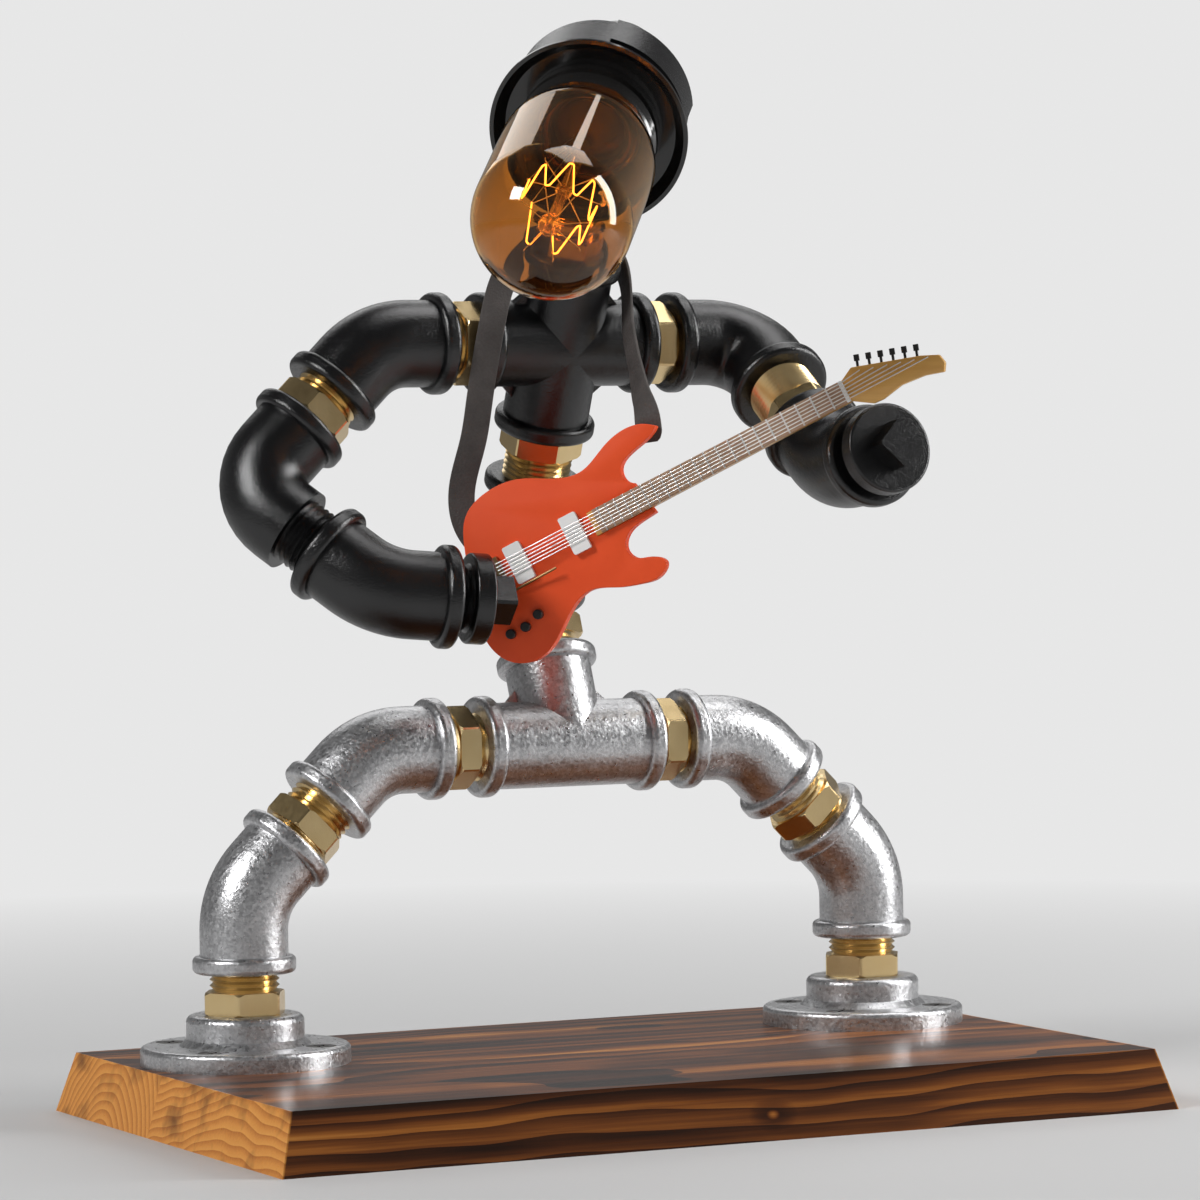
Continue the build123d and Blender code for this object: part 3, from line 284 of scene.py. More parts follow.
def plain_finish(name, low, high, rough, scale=300.0, bump=0.1, **constants):
    """A finish with cloudy colour, uneven gloss and a fine surface grain."""
    finish = Finish(name, **constants)
    cloud = finish.noise(scale, 4.0, 0.6)
    fine = finish.noise(scale * 5.0, 3.0)
    finish.feed("Base Color", finish.mix(cloud, (*low, 1.0), (*high, 1.0)))
    finish.feed("Roughness", rough[0] + cloud * (rough[1] - rough[0]))
    finish.bump(fine, bump, 0.0001)
    return finish.material


def leather():
    finish = Finish("flat leather strap", Specular_IOR_Level=0.4)
    cloud = finish.noise(160.0, 3.0)
    pores = finish.cells(1500.0, "Distance")
    finish.feed("Base Color", finish.mix(cloud, (0.036, 0.031, 0.029, 1), (0.095, 0.083, 0.078, 1)))
    finish.feed("Roughness", 0.50 + pores * 0.35)
    finish.bump(pores + finish.noise(900.0, 3.0) * 0.6, 0.5, 0.0002)
    return finish.material


def maple():
    finish = Finish("varnished maple", Coat_Weight=0.5, Coat_Roughness=0.1)
    along = finish.stretched((12.0, 12.0, 260.0), (0.0, -0.45, 0.45))
    grain = finish.noise(1.0, 4.0, 0.6, along)
    finish.feed("Base Color", finish.ramp(grain, [(0.3, (0.82, 0.47, 0.12)), (0.7, (0.66, 0.33, 0.07))]))
    finish.feed("Roughness", 0.30 + grain * 0.12)
    finish.bump(grain, 0.08, 0.0001)
    return finish.material


def amber_glass():
    finish = Finish("amber glass", Transmission_Weight=1.0, IOR=1.45)
    cloud = finish.noise(25.0, 2.0)
    finish.feed("Base Color", finish.mix(cloud, (0.62, 0.33, 0.105, 1), (0.76, 0.45, 0.165, 1)))
    finish.feed("Roughness", cloud * 0.02)
    return finish.material


def clear_glass():
    finish = Finish("stem glass", Transmission_Weight=0.85, IOR=1.45)
    cloud = finish.noise(300.0, 2.0)
    finish.feed("Base Color", finish.mix(cloud, (0.92, 0.72, 0.42, 1), (0.98, 0.84, 0.60, 1)))
    finish.feed("Roughness", 0.03 + cloud * 0.10)
    return finish.material


def glowing_filament():
    finish = Finish("glowing filament", Emission_Strength=9.0)
    cloud = finish.noise(220.0, 2.0)
    finish.feed("Base Color", finish.mix(cloud, (0.9, 0.35, 0.06, 1), (1.0, 0.5, 0.12, 1)))
    finish.feed("Emission Color", finish.mix(cloud, (1.0, 0.30, 0.045, 1), (1.0, 0.55, 0.16, 1)))
    return finish.material


finishes = {
    "galvanised": galvanised(),
    "black_iron": black_casting(),
    "brass": brass(),
    "wood_front": torched_pine("torched pine front", -0.060, -0.230, 0.0046, 3.1),
    "wood_rear": torched_pine("torched pine rear", 0.052, -0.016, 0.0048, 7.7),
    "steel_dark": plain_finish("dark screws", (0.05, 0.05, 0.05), (0.16, 0.15, 0.14), (0.3, 0.5), 400.0,
                               Metallic=0.9),
    "rubber": plain_finish("black rubber", (0.012, 0.012, 0.012), (0.03, 0.03, 0.03), (0.5, 0.7)),
    "lead": plain_finish("black lead", (0.015, 0.015, 0.015), (0.03, 0.03, 0.03), (0.4, 0.6)),
    "black_gloss": plain_finish("glossy black moulding", (0.006, 0.006, 0.006), (0.014, 0.013, 0.012),
                                (0.10, 0.2), 120.0, 0.04, Coat_Weight=0.5, Coat_Roughness=0.05),
    "insert": plain_finish("pale insert", (0.55, 0.52, 0.46), (0.75, 0.72, 0.66), (0.5, 0.7)),
    "plated": plain_finish("plated shell", (0.45, 0.40, 0.30), (0.80, 0.74, 0.60), (0.25, 0.4), Metallic=1.0),
    "amber_glass": amber_glass(),
    "clear_glass": clear_glass(),
    "filament": glowing_filament(),
    "guitar_red": plain_finish("bright red paint", (0.86, 0.080, 0.016), (0.93, 0.105, 0.022), (0.42, 0.50),
                               90.0, 0.06, Specular_IOR_Level=0.3),
    "maple": maple(),
    "rosewood": plain_finish("fingerboard", (0.30, 0.17, 0.10), (0.52, 0.34, 0.22), (0.4, 0.55), 260.0),
    "steel": plain_finish("bright wire", (0.78, 0.77, 0.75), (0.94, 0.93, 0.91), (0.26, 0.38), 500.0,
                          Metallic=0.9),
    "white_plastic": plain_finish("white covers", (0.93, 0.93, 0.92), (0.97, 0.97, 0.96), (0.3, 0.4), 200.0,
                                  0.05),
    "bronze": plain_finish("bronze plate", (0.30, 0.17, 0.07), (0.55, 0.36, 0.18), (0.25, 0.4), 400.0,
                           Metallic=1.0),
    "black_plastic": plain_finish("black knobs", (0.010, 0.010, 0.010), (0.025, 0.025, 0.025), (0.3, 0.45)),
    "leather": leather(),
}

# Every CAD node takes the finish of its material slot
node_slots = {row["node"]: row["material_slot"] for row in frame["record"]["subparts"]}
joint_rows = {row["name"]: row for row in frame["joints"]}
for name, thing in frame["nodes"].items():
    if not thing.material_slots:
        thing.data.materials.append(finishes[node_slots[name]])
    for holder in thing.material_slots:
        holder.material = finishes[node_slots[name]]


# Studio: a pale floor that fades into a pale world, which is dimmer overhead, and soft lamps
BACKDROP = 0.80
ROOM_LIGHT = 0.40
MIRRORED_LIGHT = 0.20
SKY_LOW, SKY_LOW_TONE = 0.12, 1.0
SKY_HIGH, SKY_HIGH_TONE = 0.75, 0.3
FADE_START, FADE_END = 0.26, 0.85


def make_floor():
    mesh = bpy.data.meshes.new("floor")
    mesh.from_pydata([(-12, -8, 0), (12, -8, 0), (12, 16, 0), (-12, 16, 0)], [], [(0, 1, 2, 3)])
    floor = bpy.data.objects.new("floor", mesh)
    bpy.context.scene.collection.objects.link(floor)
    finish = Finish("pale floor", Roughness=0.6, Specular_IOR_Level=0.2)
    cloud = finish.noise(3.0, 2.0)
    finish.feed("Base Color", finish.mix(cloud, grey(0.54), grey(0.57)))
    far = finish.node("ShaderNodeVectorMath", {0: finish.place}, output=1, operation="LENGTH")
    seen = finish.node("ShaderNodeLightPath", output="Is Camera Ray")
    through = finish.node("ShaderNodeLightPath", output="Is Transmission Ray")
    share = finish.limit(far, FADE_START, FADE_END) * finish.math("MAXIMUM", seen, through)
    glow = finish.node("ShaderNodeEmission", {"Color": grey(BACKDROP), "Strength": 1.0})
    both = finish.tree.nodes.new("ShaderNodeMixShader")
    finish.tree.links.new(share.socket, both.inputs[0])
    finish.tree.links.new(finish.shader.outputs[0], both.inputs[1])
    finish.tree.links.new(glow.socket, both.inputs[2])
    finish.tree.links.new(both.outputs[0], finish.tree.nodes["Material Output"].inputs["Surface"])
    mesh.materials.append(finish.material)


def make_world():
    world = bpy.data.worlds.new("studio")
    world.use_nodes = True
    bpy.context.scene.world = world
    sky = Tree(world.node_tree)
    shade = world.node_tree.nodes["Background"]
    way = sky.node("ShaderNodeTexCoord", output="Generated")
    height = sky.node("ShaderNodeSeparateXYZ", {"Vector": way}, output="Z")
    rise = sky.limit(height, SKY_LOW, SKY_HIGH)
    tones = {0: rise, 6: grey(SKY_LOW_TONE), 7: grey(SKY_HIGH_TONE)}
    colour = sky.node("ShaderNodeMix", tones, output=2, data_type="RGBA")
    seen = sky.node("ShaderNodeLightPath", output="Is Camera Ray")
    glossy = sky.node("ShaderNodeLightPath", output="Is Glossy Ray")
    through = sky.node("ShaderNodeLightPath", output="Is Transmission Ray")
    open_view = sky.math("MAXIMUM", seen, through)
    level = ROOM_LIGHT + open_view * (BACKDROP - ROOM_LIGHT)
    level = level - (1.0 - open_view) * glossy * (ROOM_LIGHT - MIRRORED_LIGHT)
    world.node_tree.links.new(colour.socket, shade.inputs["Color"])
    world.node_tree.links.new(level.socket, shade.inputs["Strength"])


def soft_lamp(name, place, target, size, power):
    data = bpy.data.lights.new(name, "AREA")
    data.shape = "RECTANGLE"
    data.size, data.size_y = size
    data.energy = power
    lamp = bpy.data.objects.new(name, data)
    lamp.matrix_world = aimed(Vector(place), Vector(target) - Vector(place), "-Z")
    bpy.context.scene.collection.objects.link(lamp)


make_floor()
make_world()
soft_lamp("key lamp", (-1.60, -0.30, 1.20), (0, 0, 0.17), (0.50, 0.50), 20.0)
soft_lamp("side lamp", (1.12, -0.56, 0.68), (0, 0, 0.25), (0.30, 1.2), 16.0)
soft_lamp("back lamp", (0.5, 1.4, 1.2), (0, 0, 0.17), (1.3, 0.8), 4.5)
soft_lamp("top lamp", (0.55, 0.15, 1.75), (0, 0, 0.1), (0.9, 0.9), 8.0)


# Pieces that are finer here than in the CAD model
def copy_of(node):
    """A merged copy of a CAD node's mesh, in the same place."""
    source = frame["nodes"][node]
    mesh = bpy.data.meshes.new(node + "_fine")
    work = bmesh.new()
    work.from_mesh(source.data)
    bmesh.ops.remove_doubles(work, verts=work.verts, dist=1e-6)
    bmesh.ops.dissolve_limit(work, angle_limit=math.radians(0.5), verts=work.verts, edges=work.edges)
    work.to_mesh(mesh)
    work.free()
    piece = bpy.data.objects.new(node + "_fine", mesh)
    bpy.context.scene.collection.objects.link(piece)
    mesh.materials.append(finishes[node_slots[node]])
    return piece


def body_holding(node):
    for body, held in frame["record"]["behaviour"]["bodies"].items():
        if node in held:
            return body
    return None


def finished(piece, node):
    """The piece rides on its node's body and takes its place."""
    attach(piece, body_holding(node))
    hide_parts(node)


def applied(piece):
    """The piece's modifiers become part of its mesh."""
    graph = bpy.context.evaluated_depsgraph_get()
    mesh = bpy.data.meshes.new_from_object(piece.evaluated_get(graph))
    piece.modifiers.clear()
    piece.data = mesh


def eased(node, width, segments):
    """A copy of a CAD node with its sharp edges eased takes the node's place."""
    piece = copy_of(node)
    bevel = piece.modifiers.new("eased edges", "BEVEL")
    bevel.width = width
    bevel.segments = segments
    bevel.limit_method = "ANGLE"
    bevel.angle_limit = math.radians(40.0)
    bevel.use_clamp_overlap = True
    applied(piece)
    for face in piece.data.polygons:
        face.use_smooth = True
    piece.data.set_sharp_from_angle(angle=math.radians(35.0))
    finished(piece, node)


def shape_tree(name, sizes):
    """An empty Geometry Nodes tree with named inputs for its sizes and its material."""
    group = bpy.data.node_groups.new(name, "GeometryNodeTree")
    group.interface.new_socket("Geometry", in_out="INPUT", socket_type="NodeSocketGeometry")
    for size, value in sizes.items():
        kind = "NodeSocketInt" if isinstance(value, int) else "NodeSocketFloat"
        group.interface.new_socket(size, in_out="INPUT", socket_type=kind).default_value = value
    group.interface.new_socket("Material", in_out="INPUT", socket_type="NodeSocketMaterial")
    group.interface.new_socket("Geometry", in_out="OUTPUT", socket_type="NodeSocketGeometry")
    tree = Tree(group)
    given = group.nodes.new("NodeGroupInput")
    return tree, {socket.name: Socket(tree, socket) for socket in given.outputs if socket.name}


def end_tree(tree, shape, material):
    """The tree's last nodes, and the finished group."""
    whole = tree.node("GeometryNodeRealizeInstances", {"Geometry": shape})
    coloured = tree.node("GeometryNodeSetMaterial", {"Geometry": whole, "Material": material})
    out = tree.tree.nodes.new("NodeGroupOutput")
    tree.tree.links.new(coloured.socket, out.inputs[0])
    return tree.tree


def grown(name, mesh, group, sizes, slot):
    """A plain mesh piece from a Geometry Nodes group with its inputs set."""
    piece = bpy.data.objects.new(name, mesh)
    bpy.context.scene.collection.objects.link(piece)
    modifier = piece.modifiers.new(name, "NODES")
    modifier.node_group = group
    sizes = dict(sizes, Material=finishes[slot])
    for item in group.interface.items_tree:
        if item.in_out == "INPUT" and item.name in sizes:
            modifier[item.identifier] = sizes[item.name]
    applied(piece)
    work = bmesh.new()
    work.from_mesh(piece.data)
    bmesh.ops.remove_doubles(work, verts=work.verts, dist=1e-7)
    bmesh.ops.recalc_face_normals(work, faces=work.faces)
    work.to_mesh(piece.data)
    work.free()
    piece.data.materials.clear()
    piece.data.materials.append(finishes[slot])
    for face in piece.data.polygons:
        face.use_smooth = True
        face.material_index = 0
    piece.data.set_sharp_from_angle(angle=math.radians(50.0))
    return piece


def line_mesh(name, runs):
    """Open lines through lists of points, as a mesh of edges."""
    mesh = bpy.data.meshes.new(name)
    places, edges = [], []
    for run in runs:
        edges += [(len(places) + i, len(places) + i + 1) for i in range(len(run) - 1)]
        places += [tuple(place) for place in run]
    mesh.from_pydata(places, edges, [])
    return mesh


eased("guitar_body", 0.0008, 3)
eased("guitar_neck", 0.0003, 2)


# Guitar plane, as in the CAD source
VIEW_TURN = math.radians(26.0)
GUITAR_HOLD = Vector((-0.03527, 0.00647, 0.15253))
GUITAR_HOLD_AT = (-0.036, -0.008)
GUITAR_RISE = math.radians(27.0)
GUITAR_SWING = math.radians(10.0)
GUITAR_TILT = math.radians(7.0)

view_right = Vector((math.cos(VIEW_TURN), -math.sin(VIEW_TURN), 0.0))
into_view = Vector((math.sin(VIEW_TURN), math.cos(VIEW_TURN), 0.0))
level_along = view_right * math.cos(GUITAR_RISE) + Vector((0, 0, 1)) * math.sin(GUITAR_RISE)
level_up = level_along.cross(into_view)
guitar_along = level_along * math.cos(GUITAR_SWING) - into_view * math.sin(GUITAR_SWING)
swung_out = -into_view * math.cos(GUITAR_SWING) - level_along * math.sin(GUITAR_SWING)
guitar_out = swung_out * math.cos(GUITAR_TILT) + level_up * math.sin(GUITAR_TILT)
guitar_up = guitar_out.cross(guitar_along)
guitar_place = GUITAR_HOLD - guitar_along * GUITAR_HOLD_AT[0] - guitar_up * GUITAR_HOLD_AT[1]


def on_guitar(x, y, z):
    return guitar_place + guitar_along * x + guitar_up * y + guitar_out * z


# Fingerboard, nut and fret wires
BOARD_START, NUT_X = 0.0054, 0.0900
BOARD_W_BODY, BOARD_W_NUT = 0.0076, 0.0068
BOARD_LOW, BOARD_TOP = 0.0006, 0.0016
NUT_LONG, NUT_TOP = 0.0012, 0.0022
FRET_COUNT = 21
FRET_FIRST, FRET_RATIO = 0.0054, 0.967
FRET_R = 0.0003
FRET_SUNK = 0.00002


def board_width(x):
    return BOARD_W_BODY + (x - BOARD_START) * ((BOARD_W_NUT - BOARD_W_BODY) / (NUT_X - BOARD_START))


def neck_block(name, start, end, low, high, ease, slot):
    """A block as wide as the board between two places along it."""
    work = bmesh.new()
    rows = [[work.verts.new(on_guitar(x, side * board_width(x) / 2, z)) for side, z in
             ((-1, low), (1, low), (1, high), (-1, high))] for x in (start, end)]
    for i in range(4):
        j = (i + 1) % 4
        work.faces.new((rows[0][i], rows[0][j], rows[1][j], rows[1][i]))
    work.faces.new(rows[0][::-1])
    work.faces.new(rows[1])
    bmesh.ops.recalc_face_normals(work, faces=work.faces)
    bmesh.ops.bevel(work, geom=work.edges[:], offset=ease, segments=2, affect="EDGES", profile=0.5)
    mesh = bpy.data.meshes.new(name)
    work.to_mesh(mesh)
    work.free()
    mesh.materials.append(finishes[slot])
    piece = bpy.data.objects.new(name, mesh)
    bpy.context.scene.collection.objects.link(piece)
    finished(piece, "guitar_fretboard")


def make_frets():
    """Fret wires, set out along the board."""
    tree, given = shape_tree("fret wires", {"Frets": FRET_COUNT, "Wire radius": FRET_R})
    steps = tree.node("GeometryNodeInputIndex") + 1.0
    along = NUT_X - (1.0 - FRET_RATIO ** steps) * (FRET_FIRST / (1.0 - FRET_RATIO))
    places = tree.node("ShaderNodeCombineXYZ", {"X": along, "Z": BOARD_TOP - FRET_SUNK})
    line = tree.node("GeometryNodeMeshLine", {"Count": given["Frets"]})
    points = tree.node("GeometryNodeSetPosition", {"Geometry": line, "Position": places})
    round_wire = {"Vertices": 16, "Radius": given["Wire radius"], "Depth": 1.0}
    wire = tree.node("GeometryNodeMeshCylinder", round_wire)
    laid = tree.node("GeometryNodeTransform", {"Geometry": wire, "Rotation": (math.pi / 2, 0.0, 0.0)})
    lengths = tree.node("ShaderNodeCombineXYZ", {"X": 1.0, "Y": board_width(along), "Z": 1.0})
    spread = {"Points": points, "Instance": laid, "Scale": lengths}
    wires_set = tree.node("GeometryNodeInstanceOnPoints", spread)
    whole = tree.node("GeometryNodeRealizeInstances", {"Geometry": wires_set})
    turn = Matrix((guitar_along, guitar_up, guitar_out)).transposed().to_euler()
    seat = {"Geometry": whole, "Translation": guitar_place, "Rotation": turn}
    put = tree.node("GeometryNodeTransform", seat)
    group = end_tree(tree, put, given["Material"])
    sizes = {"Frets": FRET_COUNT, "Wire radius": FRET_R}
    piece = grown("fret_wires", bpy.data.meshes.new("fret_wires"), group, sizes, "steel")
    finished(piece, "guitar_fretboard")


neck_block("fingerboard", BOARD_START, NUT_X - NUT_LONG, BOARD_LOW, BOARD_TOP, 0.0001, "rosewood")
neck_block("string_nut", NUT_X - NUT_LONG, NUT_X, BOARD_LOW, NUT_TOP, 0.0002, "white_plastic")
make_frets()


# Strap: a flat leather band through the CAD strap's stations, with eased edges and a slot at each button
STRAP_WIDTH = 0.008
STRAP_THICK = 0.001
STRAP_EDGE = 0.00028
STRAP_TAPER = 0.003
STRAP_NARROWEST = 0.55
STRAP_STEPS = 260
REAR_BUTTON = (-0.031, 0.010)
HORN_BUTTON = (0.0306, 0.0178)
STRAP_BACK = -0.00595
PIN_HOLE = 0.0011
COLLAR_R = 0.0169
COLLAR_BELOW_JOINT = 0.0178
neck_axis = Vector(joint_rows["neck_swivel"]["axis"])
collar_centre = Vector(joint_rows["neck_swivel"]["pos_m"]) - neck_axis * COLLAR_BELOW_JOINT


def view_point(across, depth, height):
    return (view_right * across + into_view * depth + Vector((0, 0, height))) / 1000.0


def collar_point(turn, rise):
    angle = math.radians(turn)
    side = Vector((1, 0, 0))
    out = side * math.sin(angle) - side.cross(neck_axis) * math.cos(angle)
    return collar_centre + out * COLLAR_R + neck_axis * (rise / 1000.0)


def strap_stations():
    hanging = Vector((0.0, 0.8, -0.6))
    x1, y1 = REAR_BUTTON
    x2, y2 = HORN_BUTTON
    ends = [(x1 + 0.001, y1 - 0.005, -0.0001), (x1, y1, -0.0001), (x1 - 0.0012, y1 + 0.006, -0.0002)]
    rows = [(on_guitar(x, y, STRAP_BACK + z), guitar_along) for x, y, z in ends]
    rows += [(view_point(*place), view_right) for place in
             [(-42.6, 1.0, 187.0), (-38.9, 0.6, 202.7), (-36.9, 0.2, 214.1), (-34.4, -0.2, 229.0),
              (-32.0, 0.0, 241.0)]]
    rows += [(view_point(-29.0, 5.0, 251.5), view_right + into_view * 0.4)]
    rows += [(collar_point(turn, rise), -neck_axis) for turn, rise in
             [(-78, 2.0), (-40, 2.0), (0, 2.0), (40, 2.0), (78, 0.5)]]
    rows += [(view_point(8.3, 14.5, 238.0), hanging), (view_point(10.2, 4.0, 225.2), hanging)]
    rows += [(view_point(12.2, -6.8, 214.6), hanging * 0.6 - guitar_along * 0.4)]
    rows += [(on_guitar(x2 + x, y2 + y, STRAP_BACK + z), -guitar_along) for x, y, z in
             [(0.0012, 0.0036, -0.0005), (0.0, 0.0, -0.00005), (-0.0012, -0.0034, -0.00005)]]
    return [(place, way.normalized()) for place, way in rows]


def smooth_line(points, knots, count):
    """Points and directions on the natural cubic spline through the points."""
    steps = np.diff(knots)
    size = len(points)
    matrix, right = np.eye(size), np.zeros((size, 3))
    for i in range(1, size - 1):
        matrix[i, i - 1:i + 2] = steps[i - 1], 2 * (steps[i - 1] + steps[i]), steps[i]
        right[i] = 6 * ((points[i + 1] - points[i]) / steps[i] - (points[i] - points[i - 1]) / steps[i - 1])
    bends = np.linalg.solve(matrix, right)
    rows = []
    for at in np.linspace(0, knots[-1], count):
        leg = min(int(np.searchsorted(knots, at, side="right")) - 1, size - 2)
        step, near = steps[leg], at - knots[leg]
        far = step - near
        slope = (points[leg + 1] - points[leg]) / step - step * (bends[leg + 1] - bends[leg]) / 6
        place = (bends[leg] * far ** 3 + bends[leg + 1] * near ** 3) / (6 * step)
        place += (points[leg] / step - bends[leg] * step / 6) * far
        place += (points[leg + 1] / step - bends[leg + 1] * step / 6) * near
        along = (bends[leg + 1] * near ** 2 - bends[leg] * far ** 2) / (2 * step) + slope
        rows.append((Vector(place), Vector(along).normalized(), leg, near / step))
    return rows


def strap_line():
    """The strap's middle line as a mesh, which holds the way across it and how much it narrows."""
    stations = strap_stations()
    points = np.array([list(place) for place, _ in stations])
    knots = np.concatenate([[0.0], np.cumsum(np.linalg.norm(np.diff(points, axis=0), axis=1))])
    line = smooth_line(points, knots, STRAP_STEPS)
    mesh = line_mesh("strap_line", [[place for place, _, _, _ in line]])
    mesh.attributes.new("across", "FLOAT_VECTOR", "POINT")
    mesh.attributes.new("narrow", "FLOAT", "POINT")
    across_rows, narrow_rows = mesh.attributes["across"], mesh.attributes["narrow"]
    for step, (_, along, leg, share) in enumerate(line):
        across = stations[leg][1].lerp(stations[leg + 1][1], share)
        across_rows.data[step].vector = (across - along * across.dot(along)).normalized()
        to_end = min(step, STRAP_STEPS - 1 - step) * knots[-1] / (STRAP_STEPS - 1)
        wider = (1.0 - STRAP_NARROWEST) * math.sqrt(to_end / STRAP_TAPER)
        narrow_rows.data[step].value = min(1.0, STRAP_NARROWEST + wider)
    return mesh


def strap_tree(sizes):
    """A flat section with eased edges is swept along the line."""
    tree, given = shape_tree("flat strap", sizes)
    curve = tree.node("GeometryNodeMeshToCurve", {"Mesh": given["Geometry"]})
    across = tree.node("GeometryNodeInputNamedAttribute", {"Name": "across"}, data_type="FLOAT_VECTOR")
    narrow = tree.node("GeometryNodeInputNamedAttribute", {"Name": "narrow"}, data_type="FLOAT")
    curve = tree.node("GeometryNodeSetCurveNormal", {"Curve": curve, "Normal": across}, mode="FREE")
    section = {"Width": given["Width"], "Height": given["Thickness"]}
    flat = tree.node("GeometryNodeCurvePrimitiveQuadrilateral", section)
    corners = {"Curve": flat, "Count": 3, "Radius": given["Eased edge"]}
    flat = tree.node("GeometryNodeFilletCurve", corners, mode="POLY")
    sweep = {"Curve": curve, "Profile Curve": flat, "Scale": narrow, "Fill Caps": True}
    band = tree.node("GeometryNodeCurveToMesh", sweep)
    return end_tree(tree, band, given["Material"])


def cut_slots(piece):
    for x, y in (REAR_BUTTON, HORN_BUTTON):
        bpy.ops.mesh.primitive_cylinder_add(vertices=48, radius=PIN_HOLE, depth=0.005)
        cutter = bpy.context.object
        cutter.matrix_world = aimed(on_guitar(x, y, STRAP_BACK), guitar_out, "Z")
        cut = piece.modifiers.new("button slot", "BOOLEAN")
        cut.object = cutter
        cut.solver = "EXACT"
        bpy.context.view_layer.update()
        applied(piece)
        bpy.data.objects.remove(cutter)
    for face in piece.data.polygons:
        face.use_smooth = True
    piece.data.set_sharp_from_angle(angle=math.radians(50.0))


def make_strap():
    sizes = {"Width": STRAP_WIDTH, "Thickness": STRAP_THICK, "Eased edge": STRAP_EDGE}
    piece = grown("flat_strap", strap_line(), strap_tree(sizes), sizes, "leather")
    cut_slots(piece)
    finished(piece, "strap")


make_strap()


# Bulb's inside: a glass stem with two buttons, hooks on them, and a filament that zigzags between the hooks
rim = Vector(joint_rows["bulb_turn"]["pos_m"])
head_axis = Vector(joint_rows["bulb_turn"]["axis"]).normalized()
head_side = head_axis.cross(Vector((0, 0, 1))).normalized()
head_up = head_side.cross(head_axis)
STEM_FOOT = -0.0042
STEM_TOP = 0.0640
STEM_LOW = 0.0400
STEM_SIDES = 64
CAGE_R = 0.0103
CAGE_TIPS = 15
CAGE_START, CAGE_SWEEP = 20.0, 320.0
FILAMENT_R, HOOK_R = 0.00024, 0.00016
WIRE_CORNER_R = 0.0007
MM = 0.001


def in_head(radius, angle, along):
    """A point at metres from the head's axis, degrees round it and metres forward of the ring's rim."""
    turn = math.radians(angle)
    return rim + head_axis * along + (head_side * math.cos(turn) + head_up * math.sin(turn)) * radius


def cage_angle(tip):
    return CAGE_START + CAGE_SWEEP * tip / (CAGE_TIPS - 1)


def cage_level(tip):
    return STEM_TOP if tip % 2 else STEM_LOW


def wires(name, runs, radius, slot):
    """Round wires along lists of points, with eased corners, as one mesh."""
    sizes = {"Wire radius": radius, "Corner radius": WIRE_CORNER_R}
    tree, given = shape_tree(name, sizes)
    curve = tree.node("GeometryNodeMeshToCurve", {"Mesh": given["Geometry"]})
    corners = {"Curve": curve, "Count": 5, "Radius": given["Corner radius"], "Limit Radius": True}
    curve = tree.node("GeometryNodeFilletCurve", corners, mode="POLY")
    ring = tree.node("GeometryNodeCurvePrimitiveCircle", {"Resolution": 10, "Radius": given["Wire radius"]})
    tube = tree.node("GeometryNodeCurveToMesh", {"Curve": curve, "Profile Curve": ring, "Fill Caps": True})
    return grown(name, line_mesh(name, runs), end_tree(tree, tube, given["Material"]), sizes, slot)


def turned_piece(name, outline, slot):
    """A solid turned about the lamp head's axis from points of radius and distance along it."""
    work = bmesh.new()
    turns = [360 * i / STEM_SIDES for i in range(STEM_SIDES)]
    rings = []
    for radius, along in outline:
        around = turns if radius else [0]
        rings.append([work.verts.new(in_head(radius, turn, along)) for turn in around])
    for first, second in zip(rings, rings[1:]):
        for i in range(STEM_SIDES):
            j = (i + 1) % STEM_SIDES
            corners = [first[i % len(first)], first[j % len(first)]]
            corners += [second[j % len(second)], second[i % len(second)]]
            work.faces.new(list(dict.fromkeys(corners)))
    bmesh.ops.recalc_face_normals(work, faces=work.faces)
    mesh = bpy.data.meshes.new(name)
    work.to_mesh(mesh)
    work.free()
    mesh.materials.append(finishes[slot])
    for face in mesh.polygons:
        face.use_smooth = True
    mesh.set_sharp_from_angle(angle=math.radians(60.0))
    piece = bpy.data.objects.new(name, mesh)
    bpy.context.scene.collection.objects.link(piece)
    return piece


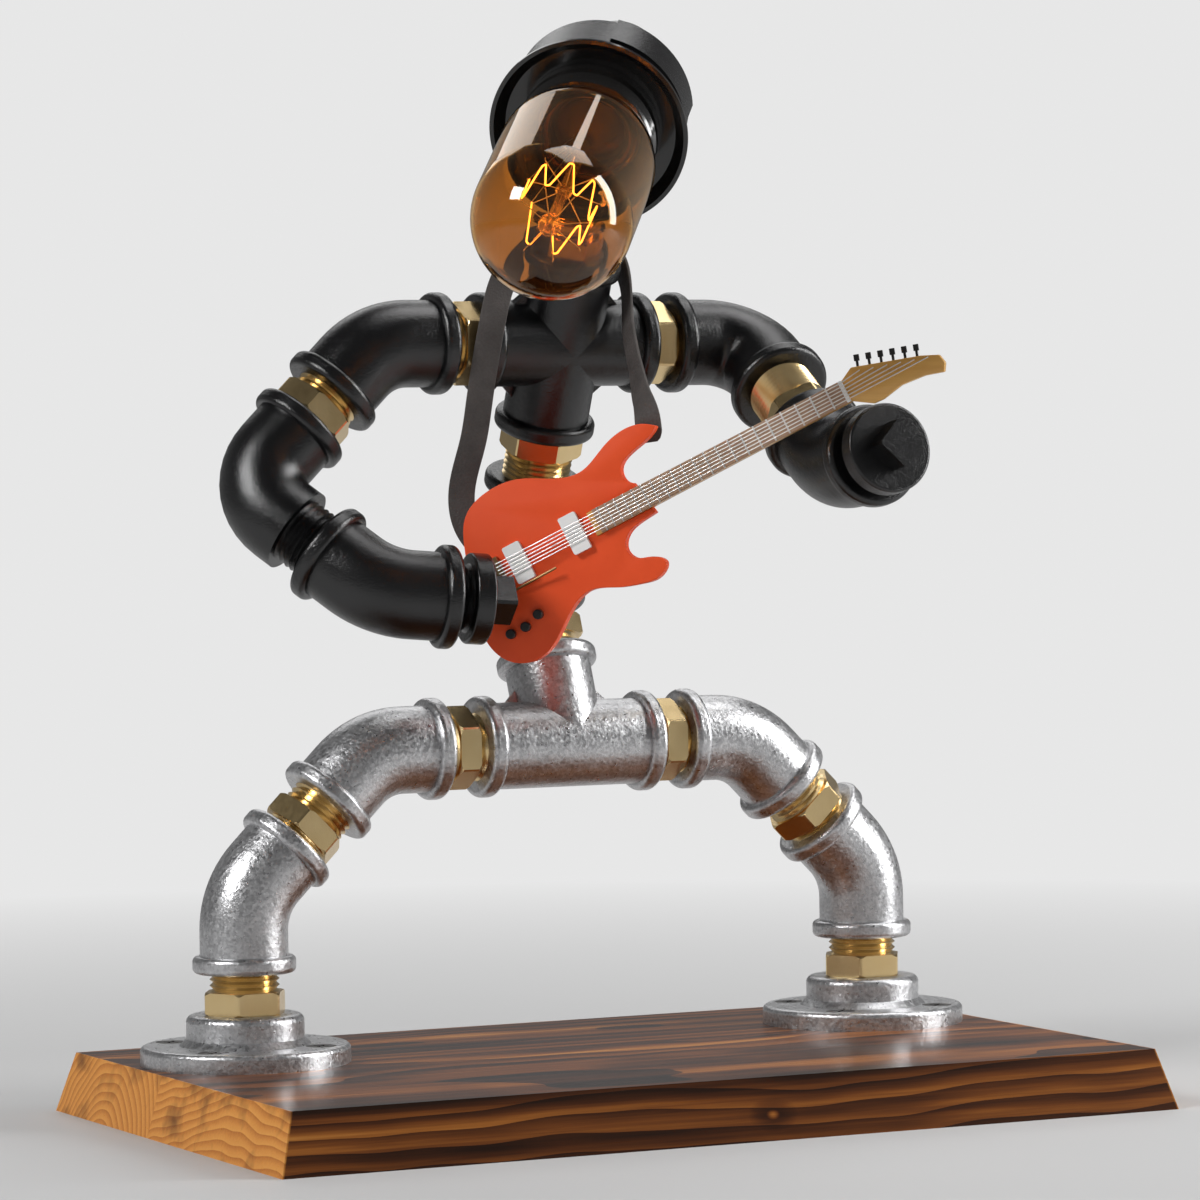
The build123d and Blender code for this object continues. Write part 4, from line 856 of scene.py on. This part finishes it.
def make_stem():
    """The stem flares at its foot and has a small button at its middle and a large one at its top."""
    stem_r, low_button, top_button = 1.5, 2.6, 3.2
    arc = [(math.sin(math.radians(turn)), math.cos(math.radians(turn))) for turn in range(0, 181, 15)]
    flare = [(9.6, 0), (8.6, 2.5), (6.0, 6), (3.6, 11), (2.1, 16)]
    outline = [(0, STEM_FOOT)] + [(radius * MM, STEM_FOOT + along * MM) for radius, along in flare]
    outline += [(max(stem_r, low_button * s) * MM, STEM_LOW - low_button * c * MM) for s, c in arc[2:-2]]
    outline += [(stem_r * MM, STEM_LOW + 5 * MM), (stem_r * MM, STEM_TOP - 5 * MM)]
    outline += [(max(stem_r, top_button * s) * MM, STEM_TOP - top_button * c * MM) for s, c in arc[2:7]]
    outline += [(top_button * s * MM, STEM_TOP - top_button * c * MM) for s, c in arc[7:-1]]
    outline += [(0, STEM_TOP + top_button * MM)]
    finished(turned_piece("glass_stem", outline, "clear_glass"), "bulb_stem")


def make_filament():
    tips = [in_head(CAGE_R, cage_angle(i), cage_level(i)) for i in range(CAGE_TIPS)]
    finished(wires("filament_wire", [tips], FILAMENT_R, "filament"), "bulb_filament")


def make_hooks():
    """A hook from the stem to each corner of the filament, and a lead-in wire to each of its ends."""
    hooks = []
    for i in range(CAGE_TIPS):
        angle, level = cage_angle(i), cage_level(i)
        bend = MM if i % 2 else -MM
        rows = [(1.2 * MM, level), (CAGE_R - 1.2 * MM, level - bend * 0.8),
                (CAGE_R + 0.5 * MM, level - bend * 0.9), (CAGE_R + 0.6 * MM, level + bend * 0.3)]
        hooks.append([in_head(radius, angle, along) for radius, along in rows])
    for i in (0, CAGE_TIPS - 1):
        rows = [(2.6 * MM, STEM_FOOT + 9 * MM), (4.5 * MM, STEM_FOOT + 14 * MM), (CAGE_R, STEM_LOW - MM),
                (CAGE_R, STEM_LOW + 0.5 * MM)]
        hooks.append([in_head(radius, cage_angle(i), along) for radius, along in rows])
    supports = wires("filament_hooks", hooks, HOOK_R, "steel")
    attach(supports, "bulb")


make_stem()
make_filament()
make_hooks()
